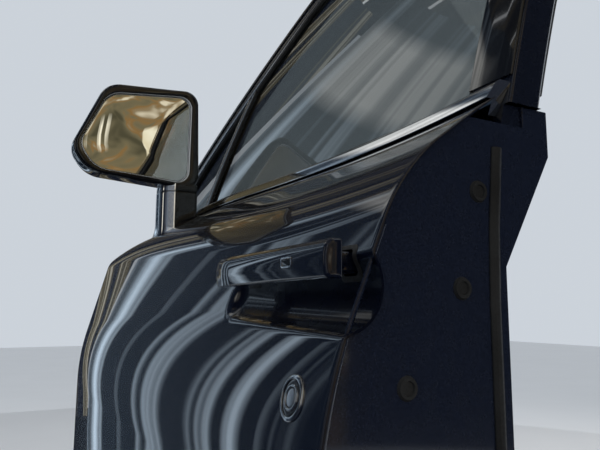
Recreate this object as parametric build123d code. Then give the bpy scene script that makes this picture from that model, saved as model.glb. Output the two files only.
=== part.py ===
from build123d import *
import math
import os

# Left front door of a large four-door vehicle, with its door mirror. Millimetres.
# X runs rearward, Y inboard and Z up. The origin is the middle of the upper hinge's pillar
# leaf, on the flat face that bolts to the hinge pillar.

# Running gaps and seats
SEAT = 0.3
PIN_CLEARANCE = 0.05
SHUT_GAP = 2.0

# Door panel: its length between shut lines, its lower edge and its sheet
DOOR_FRONT = 10.0
DOOR_LENGTH = 1130.0
SILL_Z = -520.0
SKIN_T = 2.0
PANEL_T = 2.0
CORNER_R = 70.0
DOOR_REAR = DOOR_FRONT + DOOR_LENGTH
PANEL_FRONT = DOOR_FRONT + SHUT_GAP
PANEL_REAR = DOOR_REAR - SHUT_GAP

# Cross-sections of the skin, front to rear: share of the length from the rear, then belt edge,
# shoulder, waist, side and sill corners as (y, z), and the radius over the shoulder
SECTIONS = (
    (1.00, (58.0, 236.0), (-42.0, 210.0), (-103.0, -10.0), (-104.0, -300.0), (-74.0, SILL_Z), 40.0),
    (0.84, (49.0, 262.0), (-46.0, 220.0), (-117.0, 0.0), (-118.0, -300.0), (-86.0, SILL_Z), 70.0),
    (0.50, (37.0, 270.0), (-58.0, 206.0), (-131.0, 14.0), (-134.0, -300.0), (-99.0, SILL_Z), 100.0),
    (0.00, (30.0, 269.0), (-66.0, 200.0), (-140.0, 25.0), (-143.0, -300.0), (-106.0, SILL_Z), 155.0),
)
WAIST_R = 430.0
SIDE_R = 900.0
SKIN_BACK = 260.0

# Side glass: a barrel that leans inboard, with a slight taper towards the front
BELT_Z = 280.0
GLASS_Y = 58.0
GLASS_LEAN = 14.6
GLASS_R = 2400.0
GLASS_T = 4.5
GLASS_DROP = 50.0
PLAN_TAPER = 1.0

# Window frame, as seen from the side
FRAME_FOOT_Z = 285.0
FRAME_SLOPE = 36.3
FRAME_TOP_Z = 750.0
FRAME_BEND_R = 500.0
FRAME_W = 52.0
FRAME_LEG = 95.0
FRAME_OUT = 7.0
FRAME_IN = 30.0
GLASS_HOLD = 8.0
DIVIDER_FOOT_X = 352.0
DIVIDER_LEAN = 14.7
DIVIDER_W = 22.0

# Inner panel: flat lower face, then a shelf out to the glass
INNER_Y = 40.0
INNER_TOP_Y = 96.0
INNER_BREAK_Z = 130.0
INNER_TOP_Z = 266.0
HINGE_FACE_X = 85.0
HINGE_STEP_Z = 95.0

SERVICE_HOLE_R = 60.0
SERVICE_HOLES = ((270.0, -300.0), (520.0, -190.0), (880.0, -190.0))

# Hinges
PIN_X = 55.0
PIN_Y = -63.0
PIN_R = 6.0
EYE_R = 12.5
EYE_H = 28.0
LEAF_H = 62.0
LEAF_L = 64.0
LEAF_T = 7.0
LEAF_BOLT_PITCH = 36.0
LEAF_BOLT_R = 4.5
HINGE_PITCH = 370.0

# Outer handle and its pocket
HANDLE_Z = 130.0
HANDLE_H = 27.0
HANDLE_FACE_Y = -131.0
HANDLE_T = 15.0
HANDLE_L = 214.0
HANDLE_NOSE = 36.0
HANDLE_TIP = 9.0
HANDLE_CHAMFER = 2.5
HANDLE_FOOT = 16.0
HANDLE_REAR_FOOT = 34.0
HANDLE_PIVOT_R = 3.0
HANDLE_PIVOT_DEPTH = 15.0
POCKET_R = 33.0
POCKET_NOSE_R = 28.0
POCKET_Y = -118.0
POCKET_Z = 112.5
POCKET_RISE = 1.5
POCKET_L = 214.0
FOOT_GAP = 5.5
SENSOR_BACK = 56.0
SENSOR_W = 16.5
SENSOR_H = 7.5
SENSOR_RIM = 1.2
SENSOR_X = DOOR_REAR - SENSOR_BACK
CARRIER_DEPTH = 14.0
CARRIER_T = 4.0
CARRIER_H = 44.0
CARRIER_LUG = 5.0

# Lock cap
LOCK_BACK = 51.0
LOCK_Z = 34.4
LOCK_R = 16.5
LOCK_X = DOOR_REAR - LOCK_BACK

# Latch
LATCH_Z = -60.0
LATCH_H = 90.0
LATCH_T = 3.0
CLAW_R = 16.0

# Door mirror
FOLD_X = 334.0
FOLD_Y = 18.0
FOLD_PIN_R = 9.0
STALK_TOP = 318.0
STALK_FRONT = 304.0
STALK_REAR = 369.0
STALK_SPLIT_Y = 2.0
STALK_IN_Y = 46.0
STALK_OUT_Y = -28.0
STALK_FLARE = 14.0
COLLAR_R = 28.0
COLLAR_H = 16.0
RIM_X = 364.0
RIM_T = 3.0
BEZEL_DEPTH = 12.0
HEAD_OUTLINE = ((-191.0, 384.0), (-134.0, 511.0), (44.0, 523.5), (50.0, 323.0), (-160.0, 339.0))
HEAD_RADII = (34.0, 45.0, 26.0, 28.0, 55.0)
GLASS_OUTLINE = ((-178.0, 392.0), (-130.0, 492.5), (30.0, 509.5), (27.0, 334.5), (-150.0, 347.0))
GLASS_RADII = (30.0, 45.0, 22.0, 25.0, 50.0)

# Belt moulding
MOULDING_H = 16.0
MOULDING_HOOK = 12.0
MOULDING_BEVEL = 14.0
MOULDING_START = 200.0

# Inside trim
TRIM_LAP = 20.0
TRIM_BACK = 34.0
TRIM_RISE = 32.0
TRIM_T = 16.0
TRIM_CORNER_R = 60.0
GRILLE_X = 270.0
GRILLE_Z = -300.0
GRILLE_R = 85.0
GRILLE_T = 6.0
VENEER_T = 3.0
VENEER_FRONT = 200.0
VENEER_BACK = 18.0
PADDING_T = 5.0
ARM_FRONT = 400.0
ARM_BACK = 66.0
ARM_TOP = 34.0
ARM_H = 64.0
ARM_OUT = 62.0
ARM_SKIRT = 50.0
CUP_START = 190.0
CUP_L = 140.0
CUP_W = 28.0
CUP_DEPTH = 34.0
PAD_GAP = 15.0
PAD_H = 12.0
PAD_EDGE = 6.0
SWITCH_START = 40.0
SWITCH_L = 130.0
SWITCH_T = 5.0
KEY_L = 20.0
KEY_PITCH = 28.0
KEYS = 4
BEZEL_X = 470.0
BEZEL_Z = 66.0
BEZEL_L = 124.0
BEZEL_T = 8.0
PULL_FRONT = 640.0
PULL_L = 220.0
PULL_Z = 68.0
PULL_H = 20.0
PULL_OUT = 48.0
PULL_T = 14.0
MAP_BACK = 106.0
MAP_FRONT = 400.0
MAP_LOW = -455.0
MAP_HIGH = -300.0
MAP_OUT = 62.0
MAP_WALL = 5.0


def inset(points, t, reach=0.0):
    """Corners of an open chain moved inboard by t, its two ends made longer by reach."""
    moved = []
    sides = []
    for (y0, z0), (y1, z1) in zip(points, points[1:]):
        length = math.hypot(y1 - y0, z1 - z0)
        sides.append(((y1 - y0) / length, (z1 - z0) / length))
    for i, (y, z) in enumerate(points):
        before = sides[max(i - 1, 0)]
        after = sides[min(i, len(sides) - 1)]
        ny = -before[1] - after[1]
        nz = before[0] + after[0]
        share = t / (1 + before[0] * after[0] + before[1] * after[1])
        moved.append((y + ny * share, z + nz * share))
    first = sides[0]
    last = sides[-1]
    moved[0] = (moved[0][0] - first[0] * reach, moved[0][1] - first[1] * reach)
    moved[-1] = (moved[-1][0] + last[0] * reach, moved[-1][1] + last[1] * reach)
    return moved


def shrink(points, t):
    """Corners of a closed outline, given clockwise, moved inwards by t."""
    ring = [points[-1], *points, points[0]]
    return inset(ring, -t)[1:-1]


def flank(t, reach=0.0):
    """Everything inboard of the skin's outer face moved inboard by t."""
    wires = []
    for share, *chain, shoulder_r in SECTIONS:
        x = DOOR_REAR - DOOR_LENGTH * share
        points = [(x, y, z) for y, z in inset(chain, t, reach)]
        radii = [shoulder_r - t, WAIST_R - t, SIDE_R - t]
        edges = FilletPolyline(*points, radius=radii).edges()
        back = Polyline(points[-1], (x, SKIN_BACK, points[-1][2]), (x, SKIN_BACK, points[0][2]), points[0])
        wires.append(Wire(list(edges) + list(back.edges())))
    return Solid.make_loft(wires)


def prism(axis, points, start, stop, radii=0.0):
    """A closed outline, square to one axis, carried along it from start to stop."""
    place = {
        "x": lambda u, v: (start, u, v),
        "y": lambda u, v: (u, start, v),
        "z": lambda u, v: (u, v, start),
    }[axis]
    along = {
        "x": Vector(stop - start, 0, 0),
        "y": Vector(0, stop - start, 0),
        "z": Vector(0, 0, stop - start),
    }[axis]
    wire = FilletPolyline(*[place(u, v) for u, v in points], radius=radii, close=True)
    return Solid.extrude(Face(Wire(wire.edges())), along)


def block(x0, x1, y0, y1, z0, z1):
    return Pos((x0 + x1) / 2, (y0 + y1) / 2, (z0 + z1) / 2) * Box(x1 - x0, y1 - y0, z1 - z0)


def rod(axis, x, y, z, r, length):
    """A round bar whose middle is at x, y, z."""
    turn = {"x": Rot(0, 90, 0), "y": Rot(90, 0, 0), "z": Rot(0, 0, 0)}[axis]
    return Pos(x, y, z) * turn * Cylinder(r, length)


def tapered(shape):
    """Turns what follows the glass by the plan taper about the rear shut line."""
    return Pos(DOOR_REAR, 0, 0) * Rot(0, 0, -PLAN_TAPER) * Pos(-DOOR_REAR, 0, 0) * shape


lean = math.radians(GLASS_LEAN)
BARREL_Y = GLASS_Y + GLASS_R * math.cos(lean)
BARREL_Z = BELT_Z - GLASS_R * math.sin(lean)


def barrel_point(out, z):
    """Point (y, z) on the glass's barrel, moved outboard by out."""
    r = GLASS_R + out
    rise = math.asin((z - BARREL_Z) / r)
    return (BARREL_Y - r * math.cos(rise), z)


def barrel(out_from, out_to, z0, z1):
    """Slab that follows the side glass, between two distances outboard of its outer face."""
    heights = (z0, (z0 + z1) / 2, z1)
    outer = [(DOOR_FRONT - 40, *barrel_point(out_to, z)) for z in heights]
    inner = [(DOOR_FRONT - 40, *barrel_point(out_from, z)) for z in heights]
    edges = [
        ThreePointArc(*outer).edge(),
        Line(outer[2], inner[2]).edge(),
        ThreePointArc(inner[2], inner[1], inner[0]).edge(),
        Line(inner[0], outer[0]).edge(),
    ]
    slab = Solid.extrude(Face(Wire(edges)), Vector(DOOR_LENGTH + 80, 0, 0))
    return tapered(slab)


parts = {}


# Skin: the flank's outer face less the same face one sheet further in, cut to the panel's
# outline, with an opening for the cup that the handle's fingers reach into
POCKET_END = DOOR_REAR - POCKET_L


def pocket(t):
    """The room behind the handle, t larger all round: a cone that ends in front in a ball."""
    nose = Vector(POCKET_END, POCKET_Y, POCKET_Z + POCKET_RISE)
    run = Vector(DOOR_REAR + 20, POCKET_Y, POCKET_Z) - nose
    cone = Cone(POCKET_NOSE_R + t, POCKET_R + t, run.length)
    cone = Plane(nose + run * 0.5, x_dir=(0, 1, 0), z_dir=run) * cone
    return cone + Pos(*nose) * Sphere(POCKET_NOSE_R + t)


outside = flank(0)
under_skin = flank(SKIN_T, 60)
seat_face = flank(SKIN_T + SEAT, 60)
panel_corners = [(PANEL_FRONT, SILL_Z), (PANEL_REAR, SILL_Z), (PANEL_REAR, 400), (PANEL_FRONT, 400)]
outline = prism("y", panel_corners, -300, 300, (CORNER_R, CORNER_R, 0, 0))
flank_sheet = outside & outline
skin = flank_sheet - under_skin - pocket(SKIN_T + SEAT)

HANDLE_FRONT = PANEL_REAR - HANDLE_L
PIVOT_X = HANDLE_FRONT + HANDLE_FOOT
PIVOT_Y = POCKET_Y + POCKET_R + HANDLE_PIVOT_DEPTH
REAR_FOOT_X = PANEL_REAR - HANDLE_REAR_FOOT
foot_slots = Part()
for x in (PIVOT_X, REAR_FOOT_X):
    half = HANDLE_FOOT / 2 + FOOT_GAP
    foot_slots += block(x - half, x + half, POCKET_Y + 10, PIVOT_Y, HANDLE_Z - half, HANDLE_Z + half)

hit = outside.find_intersection_points(Axis((LOCK_X, -400, LOCK_Z), (0, 1, 0)))[0]
lock_plane = Plane(hit[0], x_dir=(1, 0, 0), z_dir=hit[1])
lock_hole = lock_plane * Cylinder(LOCK_R - 5, 30)
parts["outer_skin"] = skin - foot_slots - lock_hole

# Cup behind the handle, flush with the skin, rounded off at its front end and slotted for the
# handle's two feet
parts["handle_recess"] = (flank_sheet & pocket(SKIN_T)) - pocket(0) - foot_slots


# Inner panel: a pressed tray with front, rear and lower walls, open towards the skin. Its
# front wall steps back below the upper hinge to make the hinge face
tray_corners = [
    (HINGE_FACE_X, SILL_Z + 4), (PANEL_REAR - 4, SILL_Z + 4), (PANEL_REAR - 4, 330),
    (PANEL_FRONT + 2, 330), (PANEL_FRONT + 2, HINGE_STEP_Z), (HINGE_FACE_X, HINGE_STEP_Z),
]
hollow_corners = [
    (HINGE_FACE_X + PANEL_T, SILL_Z + 4 + PANEL_T), (PANEL_REAR - 4 - PANEL_T, SILL_Z + 4 + PANEL_T),
    (PANEL_REAR - 4 - PANEL_T, 340), (PANEL_FRONT + 2 + PANEL_T, 340),
    (PANEL_FRONT + 2 + PANEL_T, HINGE_STEP_Z + PANEL_T), (HINGE_FACE_X + PANEL_T, HINGE_STEP_Z + PANEL_T),
]
tray_radii = (CORNER_R - 20, CORNER_R - 4, 0, 0, 12, 12)
hollow_radii = (CORNER_R - 20 - PANEL_T, CORNER_R - 4 - PANEL_T, 0, 0, 12 - PANEL_T, 12 + PANEL_T)


def inner_block(t, rise=0.0):
    """Everything outboard of the inner panel's inboard face, that face moved outboard by t."""
    chain = [
        (-300, SILL_Z - 20), (INNER_Y - t, SILL_Z - 20), (INNER_Y - t, INNER_BREAK_Z),
        (INNER_TOP_Y - t, INNER_TOP_Z - 40), (INNER_TOP_Y - t, INNER_TOP_Z + rise), (-300, INNER_TOP_Z + rise),
    ]
    return tapered(prism("x", chain, DOOR_FRONT - 40, DOOR_REAR + 40))


tray = prism("y", tray_corners, -300, 300, tray_radii) & inner_block(0)
open_top = block(-60, DOOR_REAR + 60, -400, 60, INNER_TOP_Z - 26, INNER_TOP_Z + 34)
hollow = prism("y", hollow_corners, -320, 320, hollow_radii) & (inner_block(PANEL_T) + open_top)
panel = ((tray - hollow) & seat_face) - pocket(SKIN_T + SEAT)
panel -= block(-60, DOOR_REAR + 60, -300, 66, INNER_TOP_Z - 18, INNER_TOP_Z + 10)
for x, z in SERVICE_HOLES:
    panel -= rod("y", x, INNER_Y, z, SERVICE_HOLE_R, 60)
parts["inner_panel"] = panel


# Window frame: one channel up the front slope, over the top and down the rear, grooved for
# the glass
slope = math.tan(math.radians(FRAME_SLOPE))
bend_x = PANEL_FRONT + (FRAME_TOP_Z - FRAME_FOOT_Z) / slope


def frame_outline(width, foot):
    """Side view of the frame's outer edge moved inwards by width, down to the height foot."""
    drop = width / math.cos(math.radians(FRAME_SLOPE))
    top = FRAME_TOP_Z - width
    front_x = PANEL_FRONT + width
    front_z = FRAME_FOOT_Z + width * slope - drop
    corner_x = PANEL_FRONT + (top + drop - FRAME_FOOT_Z) / slope
    corners = [(front_x, foot), (PANEL_REAR - width, foot), (PANEL_REAR - width, top), (corner_x, top),
               (front_x, front_z)]
    rear_r = max(40 - width * 0.4, 8)
    return corners, (0, 0, rear_r, FRAME_BEND_R - width, 8)


def window_prism(width, foot):
    corners, radii = frame_outline(width, foot)
    return prism("y", corners, -60, 420, radii)


foot_z = BELT_Z - FRAME_LEG
frame_slab = barrel(-FRAME_IN, FRAME_OUT, foot_z - 20, FRAME_TOP_Z + 30)
ring = window_prism(0, foot_z) - window_prism(FRAME_W, foot_z - 60)
groove = window_prism(FRAME_W - GLASS_HOLD - SEAT, foot_z - 60)
groove = groove & barrel(-GLASS_T - SEAT, SEAT, foot_z - 60, FRAME_TOP_Z)
inside_corners = [
    (HINGE_FACE_X + PANEL_T + SEAT, foot_z - 90), (PANEL_REAR - 4 - PANEL_T - SEAT, foot_z - 90),
    (PANEL_REAR - 4 - PANEL_T - SEAT, INNER_TOP_Z + 1), (PANEL_FRONT + 2 + PANEL_T + SEAT, INNER_TOP_Z + 1),
    (PANEL_FRONT + 2 + PANEL_T + SEAT, HINGE_STEP_Z + 30), (HINGE_FACE_X + PANEL_T + SEAT, HINGE_STEP_Z + 30),
]
frame_body = (ring & frame_slab) - groove
legs = frame_body & prism("y", inside_corners, -60, 420) & inner_block(PANEL_T + SEAT, 5)
legs = legs & (seat_face + block(-60, DOOR_REAR + 60, -60, 420, INNER_TOP_Z - 10, INNER_TOP_Z + 30))
above_tray = block(-60, DOOR_REAR + 60, -60, 420, INNER_TOP_Z + SEAT, FRAME_TOP_Z + 60)
below_top = block(-60, DOOR_REAR + 60, -60, 420, 0, INNER_TOP_Z + SEAT)
parts["window_frame"] = (legs & below_top) + (frame_body & above_tray)


# Glass: the door glass and the fixed quarter light, parted by a bar that leans rearward
lean_x = math.tan(math.radians(DIVIDER_LEAN))


def divider_band(half, z0, z1):
    """Upright band along the divider bar, half its width each side."""
    h = half / math.cos(math.radians(DIVIDER_LEAN))
    foot_x = DIVIDER_FOOT_X + (z0 - BELT_Z) * lean_x
    top_x = DIVIDER_FOOT_X + (z1 - BELT_Z) * lean_x
    return prism("y", [(foot_x - h, z0), (foot_x + h, z0), (top_x + h, z1), (top_x - h, z1)], -60, 420)


glass_foot = BELT_Z - GLASS_DROP
glass_sheet = window_prism(FRAME_W - GLASS_HOLD, glass_foot)
glass_sheet = glass_sheet & barrel(-GLASS_T, 0, glass_foot - 10, FRAME_TOP_Z)
split = divider_band(DIVIDER_W / 2 - GLASS_HOLD + 2, glass_foot - 40, FRAME_TOP_Z + 20)
panes = (glass_sheet - split).solids().sort_by(Axis.X)
parts["quarter_glass"] = panes[0]
parts["door_glass"] = panes[-1]

bar = divider_band(DIVIDER_W / 2, glass_foot, FRAME_TOP_Z) & window_prism(FRAME_W + SEAT, glass_foot - 20)
bar = bar & barrel(-18, FRAME_OUT, glass_foot - 10, FRAME_TOP_Z)
bar_groove = barrel(-GLASS_T - SEAT, SEAT, glass_foot - 40, FRAME_TOP_Z + 20)
bar_web = divider_band(DIVIDER_W / 2 - GLASS_HOLD + 2 - SEAT, glass_foot - 60, FRAME_TOP_Z + 40)
parts["divider_bar"] = bar - (bar_groove - bar_web)


# Polished strip along the belt, hooked over the skin's upper edge, and its short front length
# ahead of the mirror's stalk
def belt_section(share):
    """Belt edge of the skin at a share of the length, read off the cross-section table."""
    rows = sorted(SECTIONS, key=lambda row: row[0])
    for low, high in zip(rows, rows[1:]):
        if low[0] <= share <= high[0]:
            k = (share - low[0]) / (high[0] - low[0])
            return low[1][0] + k * (high[1][0] - low[1][0]), low[1][1] + k * (high[1][1] - low[1][1])
    return rows[-1][1]


def belt_edge(x):
    """Real upper edge of the skin at x, found on the flank itself."""
    share = (DOOR_REAR - x) / DOOR_LENGTH
    y, z = belt_section(share)
    face = outside & block(x - 0.5, x + 0.5, -200, SKIN_BACK - 20, z - 25, z + 40)
    box = face.bounding_box()
    top = box.max.Z
    sliver = outside & block(x - 0.5, x + 0.5, -200, SKIN_BACK - 20, top - 0.6, top + 5)
    return sliver.bounding_box().min.Y, top


def glass_y(x, z, out):
    """Y of the glass's barrel at x and z, the plan taper included."""
    y = barrel_point(out, z)[0]
    return y + (DOOR_REAR - x) * math.tan(math.radians(PLAN_TAPER))


def moulding(x0, x1, count):
    wires = []
    for i in range(count):
        x = x0 + (x1 - x0) * i / (count - 1)
        y, z = belt_edge(x)
        back = glass_y(x, z - MOULDING_HOOK, FRAME_OUT) - SEAT
        lip = glass_y(x, z + MOULDING_H, FRAME_OUT) - SEAT
        hook = min(y + 6, back - 3)
        rest = z + SEAT + 0.2
        corners = [(y - 1, rest), (y + 4, z + MOULDING_H - 4), (y + 9, z + MOULDING_H), (lip, z + MOULDING_H),
                   (back, z - MOULDING_HOOK), (hook, z - MOULDING_HOOK), (hook, rest)]
        wires.append(Wire(Polyline(*[(x, a, b) for a, b in corners], close=True).edges()))
    return Solid.make_loft(wires)


strip_rear = moulding(STALK_REAR + 1, PANEL_REAR - 2, 6)
rear_z = belt_edge(PANEL_REAR - 4)[1]
bevel = [(PANEL_REAR + 1, rear_z + MOULDING_H + 4), (PANEL_REAR - 2 - MOULDING_BEVEL, rear_z - MOULDING_HOOK - 6),
         (PANEL_REAR + 1, rear_z - MOULDING_HOOK - 6)]
parts["belt_moulding"] = strip_rear - prism("y", bevel, -60, 120)
parts["belt_moulding_front"] = moulding(MOULDING_START, STALK_FRONT - 1, 4)


# Cover on the rear upright and a narrow strip along the frame's outer edge
COVER_T = 2.5
cover_slab = barrel(FRAME_OUT, FRAME_OUT + COVER_T, BELT_Z + 8, FRAME_TOP_Z + 20)
cover_corners = [(PANEL_REAR - FRAME_W + 1, BELT_Z + 12), (PANEL_REAR - 1, BELT_Z + 12),
                 (PANEL_REAR - 1, FRAME_TOP_Z - 24), (PANEL_REAR - FRAME_W + 1, FRAME_TOP_Z - 24)]
parts["pillar_cover"] = prism("y", cover_corners, -60, 420) & cover_slab
strip = window_prism(4, foot_z) - window_prism(16, foot_z - 60)
strip_room = block(PANEL_FRONT - 10, PANEL_REAR - FRAME_W - 2, -60, 420, BELT_Z + 14, FRAME_TOP_Z + 20)
parts["frame_trim"] = strip & strip_room & cover_slab

# Rubber: the lips that wipe the glass at the belt, and the ring that meets the body's opening
WIPER_W = 12.0
seal_out = INNER_TOP_Y - PANEL_T
inner_seal = [(seal_out - WIPER_W, INNER_TOP_Z - 22), (seal_out, INNER_TOP_Z - 22),
              (seal_out, INNER_TOP_Z + 4), (seal_out - WIPER_W, INNER_TOP_Z + 4)]
inner_run = prism("x", inner_seal, PANEL_FRONT + FRAME_W + 26, PANEL_REAR - FRAME_W - 8, (2, 2, 5, 5))
parts["inner_belt_seal"] = tapered(inner_run)

wiper = barrel(SEAT, FRAME_OUT - 1, BELT_Z - 22, BELT_Z + 7) & window_prism(FRAME_W + SEAT, foot_z)
wiper = wiper - divider_band(DIVIDER_W / 2 + SEAT, foot_z, FRAME_TOP_Z)
wiper = wiper & block(120, DOOR_REAR, -60, 420, foot_z, 400)
wipers = wiper.solids().sort_by(Axis.X)
parts["outer_belt_seal_front"] = wipers[0]
parts["outer_belt_seal"] = wipers[-1]

seal_ring = window_prism(8, foot_z) - window_prism(22, foot_z - 60)
parts["door_seal"] = seal_ring & barrel(-FRAME_IN - 12, -FRAME_IN, BELT_Z + 4, FRAME_TOP_Z)


# Hinges: a pillar leaf with two eyes, a door leaf with one between them, and a headed pin
def post_leaf(z):
    plate = block(-LEAF_L / 2, LEAF_L / 2, -LEAF_T, 0, z - LEAF_H / 2, z + LEAF_H / 2)
    arm = prism("z", [(LEAF_L / 2 - 26, -LEAF_T), (LEAF_L / 2, -LEAF_T), (LEAF_L / 2, -LEAF_T - 6),
                      (PIN_X + 8, PIN_Y + 6), (PIN_X - 9, PIN_Y - 4)], z - LEAF_H / 2, z + LEAF_H / 2)
    leaf = plate + arm + rod("z", PIN_X, PIN_Y, z, EYE_R, LEAF_H)
    leaf -= rod("z", PIN_X, PIN_Y, z, EYE_R + 4, EYE_H + 2 * SEAT)
    leaf -= rod("z", PIN_X, PIN_Y, z, PIN_R, LEAF_H + 2)
    for side in (-1, 1):
        leaf -= rod("y", side * LEAF_BOLT_PITCH / 2, -LEAF_T / 2, z, LEAF_BOLT_R, LEAF_T + 2)
    return leaf


def door_leaf(z):
    plate = block(HINGE_FACE_X - LEAF_T, HINGE_FACE_X, PIN_Y - 22, PIN_Y + 40, z - LEAF_H / 2, z + LEAF_H / 2)
    arm = block(PIN_X, HINGE_FACE_X - 1, PIN_Y - 9, PIN_Y + 9, z - EYE_H / 2, z + EYE_H / 2)
    leaf = plate + arm + rod("z", PIN_X, PIN_Y, z, EYE_R, EYE_H)
    return leaf - rod("z", PIN_X, PIN_Y, z, PIN_R + PIN_CLEARANCE, LEAF_H + 2)


def hinge_pin(z):
    shank = rod("z", PIN_X, PIN_Y, z, PIN_R, LEAF_H)
    return shank + rod("z", PIN_X, PIN_Y, z + LEAF_H / 2 + 2, PIN_R + 4, 4)


for name, z in (("upper", 0.0), ("lower", -HINGE_PITCH)):
    parts["hinge_" + name + "_post_leaf"] = post_leaf(z)
    parts["hinge_" + name + "_pin"] = hinge_pin(z)
    parts["hinge_" + name + "_door_leaf"] = door_leaf(z)


# Outer handle: a bar whose front end curves in to the pocket, on two feet, and the carrier
# behind the pocket that holds its pivot
HANDLE_BACK = HANDLE_FACE_Y + HANDLE_T
low_z = HANDLE_Z - HANDLE_H / 2
high_z = HANDLE_Z + HANDLE_H / 2
handle_plan = [(HANDLE_FRONT, HANDLE_BACK), (HANDLE_FRONT, HANDLE_BACK - HANDLE_TIP),
               (HANDLE_FRONT + HANDLE_NOSE, HANDLE_FACE_Y), (PANEL_REAR, HANDLE_FACE_Y),
               (PANEL_REAR, HANDLE_BACK)]
handle_section = [(HANDLE_BACK, low_z), (HANDLE_BACK, high_z), (HANDLE_FACE_Y + HANDLE_CHAMFER, high_z),
                  (HANDLE_FACE_Y, high_z - HANDLE_CHAMFER), (HANDLE_FACE_Y, low_z + HANDLE_CHAMFER),
                  (HANDLE_FACE_Y + HANDLE_CHAMFER, low_z)]
handle_side = [(HANDLE_FRONT, low_z), (PANEL_REAR, low_z), (PANEL_REAR, high_z), (HANDLE_FRONT, high_z)]
grip = prism("z", handle_plan, low_z, high_z, (1, 8, 120, 2, 2))
grip = grip & prism("x", handle_section, HANDLE_FRONT - 5, PANEL_REAR + 5, (2, 2, 3, 3, 1, 1))
grip = grip & prism("y", handle_side, HANDLE_FACE_Y - 5, HANDLE_BACK + 5, (11, 0, 0, 12))
foot_h = HANDLE_FOOT / 2
feet = Part()
for x in (PIVOT_X, REAR_FOOT_X):
    feet += block(x - foot_h, x + foot_h, HANDLE_BACK - 3, PIVOT_Y + foot_h, HANDLE_Z - foot_h, HANDLE_Z + foot_h)
handle = grip + feet
handle -= rod("z", PIVOT_X, PIVOT_Y, HANDLE_Z, HANDLE_PIVOT_R + PIN_CLEARANCE, 40)


def sensor_block(spread, y0, y1):
    """Block on the handle's face, as wide and high as the sensor and spread beyond it each way."""
    w = SENSOR_W / 2 + spread
    h = SENSOR_H / 2 + spread
    return block(SENSOR_X - w, SENSOR_X + w, HANDLE_FACE_Y + y0, HANDLE_FACE_Y + y1, HANDLE_Z - h, HANDLE_Z + h)


parts["handle_grip"] = handle - sensor_block(0.2, -1, 1.5)
parts["handle_sensor"] = sensor_block(0, -0.4, 1.5) - sensor_block(-SENSOR_RIM, -1, 0.2)

carrier_y = PIVOT_Y + CARRIER_DEPTH
carrier = block(HANDLE_FRONT - 6, REAR_FOOT_X - HANDLE_FOOT * 1.5, carrier_y, carrier_y + CARRIER_T,
                HANDLE_Z - CARRIER_H / 2, HANDLE_Z + CARRIER_H / 2)
for z in (HANDLE_Z - foot_h - SEAT - CARRIER_LUG, HANDLE_Z + foot_h + SEAT):
    carrier += block(PIVOT_X - 9, PIVOT_X + 9, PIVOT_Y - foot_h, carrier_y + 1, z, z + CARRIER_LUG)
carrier += rod("z", PIVOT_X, PIVOT_Y, HANDLE_Z, HANDLE_PIVOT_R, HANDLE_FOOT + 2 * SEAT + 8)
boss_x = (PIVOT_X + REAR_FOOT_X) / 2
boss_y = POCKET_Y + POCKET_R - 12
carrier += block(boss_x - 20, boss_x + 20, boss_y, carrier_y + 1, HANDLE_Z - 18, HANDLE_Z - 4)
parts["handle_carrier"] = (carrier - pocket(SKIN_T + SEAT)) & seat_face


# Lock cap: a proud ring, a dished field and a plain disc
ring_body = lock_plane * (Pos(0, 0, -1) * Cylinder(LOCK_R, 5.6) - Pos(0, 0, 1) * Cylinder(LOCK_R - 3.2, 9))
near_lock = block(LOCK_X - 2 * LOCK_R, LOCK_X + 2 * LOCK_R, -200, 0, LOCK_Z - 2 * LOCK_R, LOCK_Z + 2 * LOCK_R)
parts["lock_ring"] = ring_body - (under_skin & near_lock) - skin
plug = Pos(0, 0, -5.5) * Cylinder(LOCK_R - 5.3, 13) + Pos(0, 0, 0.8) * Cylinder(LOCK_R - 3.5, 0.8)
plug += Pos(0, 0, 1.4) * (Cylinder(LOCK_R - 7, 1.2) - Cylinder(LOCK_R - 9, 4))
plug += Pos(0, 0, 1.4) * Cylinder(LOCK_R - 11, 0.8)
parts["lock_cap"] = lock_plane * plug


# Latch: a plate on the rear wall with a slot for the striker, and the claw behind it
latch_x = PANEL_REAR - 4
latch_corners = [(-70, LATCH_Z - LATCH_H / 2), (10, LATCH_Z - LATCH_H / 2), (10, LATCH_Z + LATCH_H / 2),
                 (-70, LATCH_Z + LATCH_H / 2)]
latch = prism("x", latch_corners, latch_x, latch_x + LATCH_T, 10)
striker_slot = block(latch_x - 60, latch_x + 10, -20, 20, LATCH_Z - 10, LATCH_Z + 10)
parts["latch_plate"] = latch - striker_slot
claw_mouth = block(latch_x - 20, latch_x, -38, -20, LATCH_Z - 7, LATCH_Z + 7)
claw = rod("x", latch_x - 8, -42, LATCH_Z, CLAW_R, 8) - claw_mouth
claw += rod("x", latch_x - 14, -42, LATCH_Z, 6, 4)
claw += block(latch_x - 22, latch_x - 16, -60, -24, LATCH_Z - 24, LATCH_Z + 24)
claw += block(latch_x - 22, latch_x - PANEL_T, -66, -60, LATCH_Z - 24, LATCH_Z + 24)
parts["latch_claw"] = claw
parts["inner_panel"] = parts["inner_panel"] - striker_slot


# Inside trim: a moulded panel over the tray, with armrest, pull, pocket and controls
TRIM_FRONT = HINGE_FACE_X + TRIM_LAP
TRIM_REAR = DOOR_REAR - TRIM_BACK
TRIM_FOOT = SILL_Z + TRIM_RISE
face_y = INNER_Y + TRIM_T
roll_y = INNER_TOP_Y + TRIM_T
SLOPE_LOW = (face_y, INNER_BREAK_Z - 20)
SLOPE_HIGH = (roll_y, INNER_TOP_Z - 48)
TRIM_RADII = (0, 10, 0, 60, 40, 12, 0, 0, 0)


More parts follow.
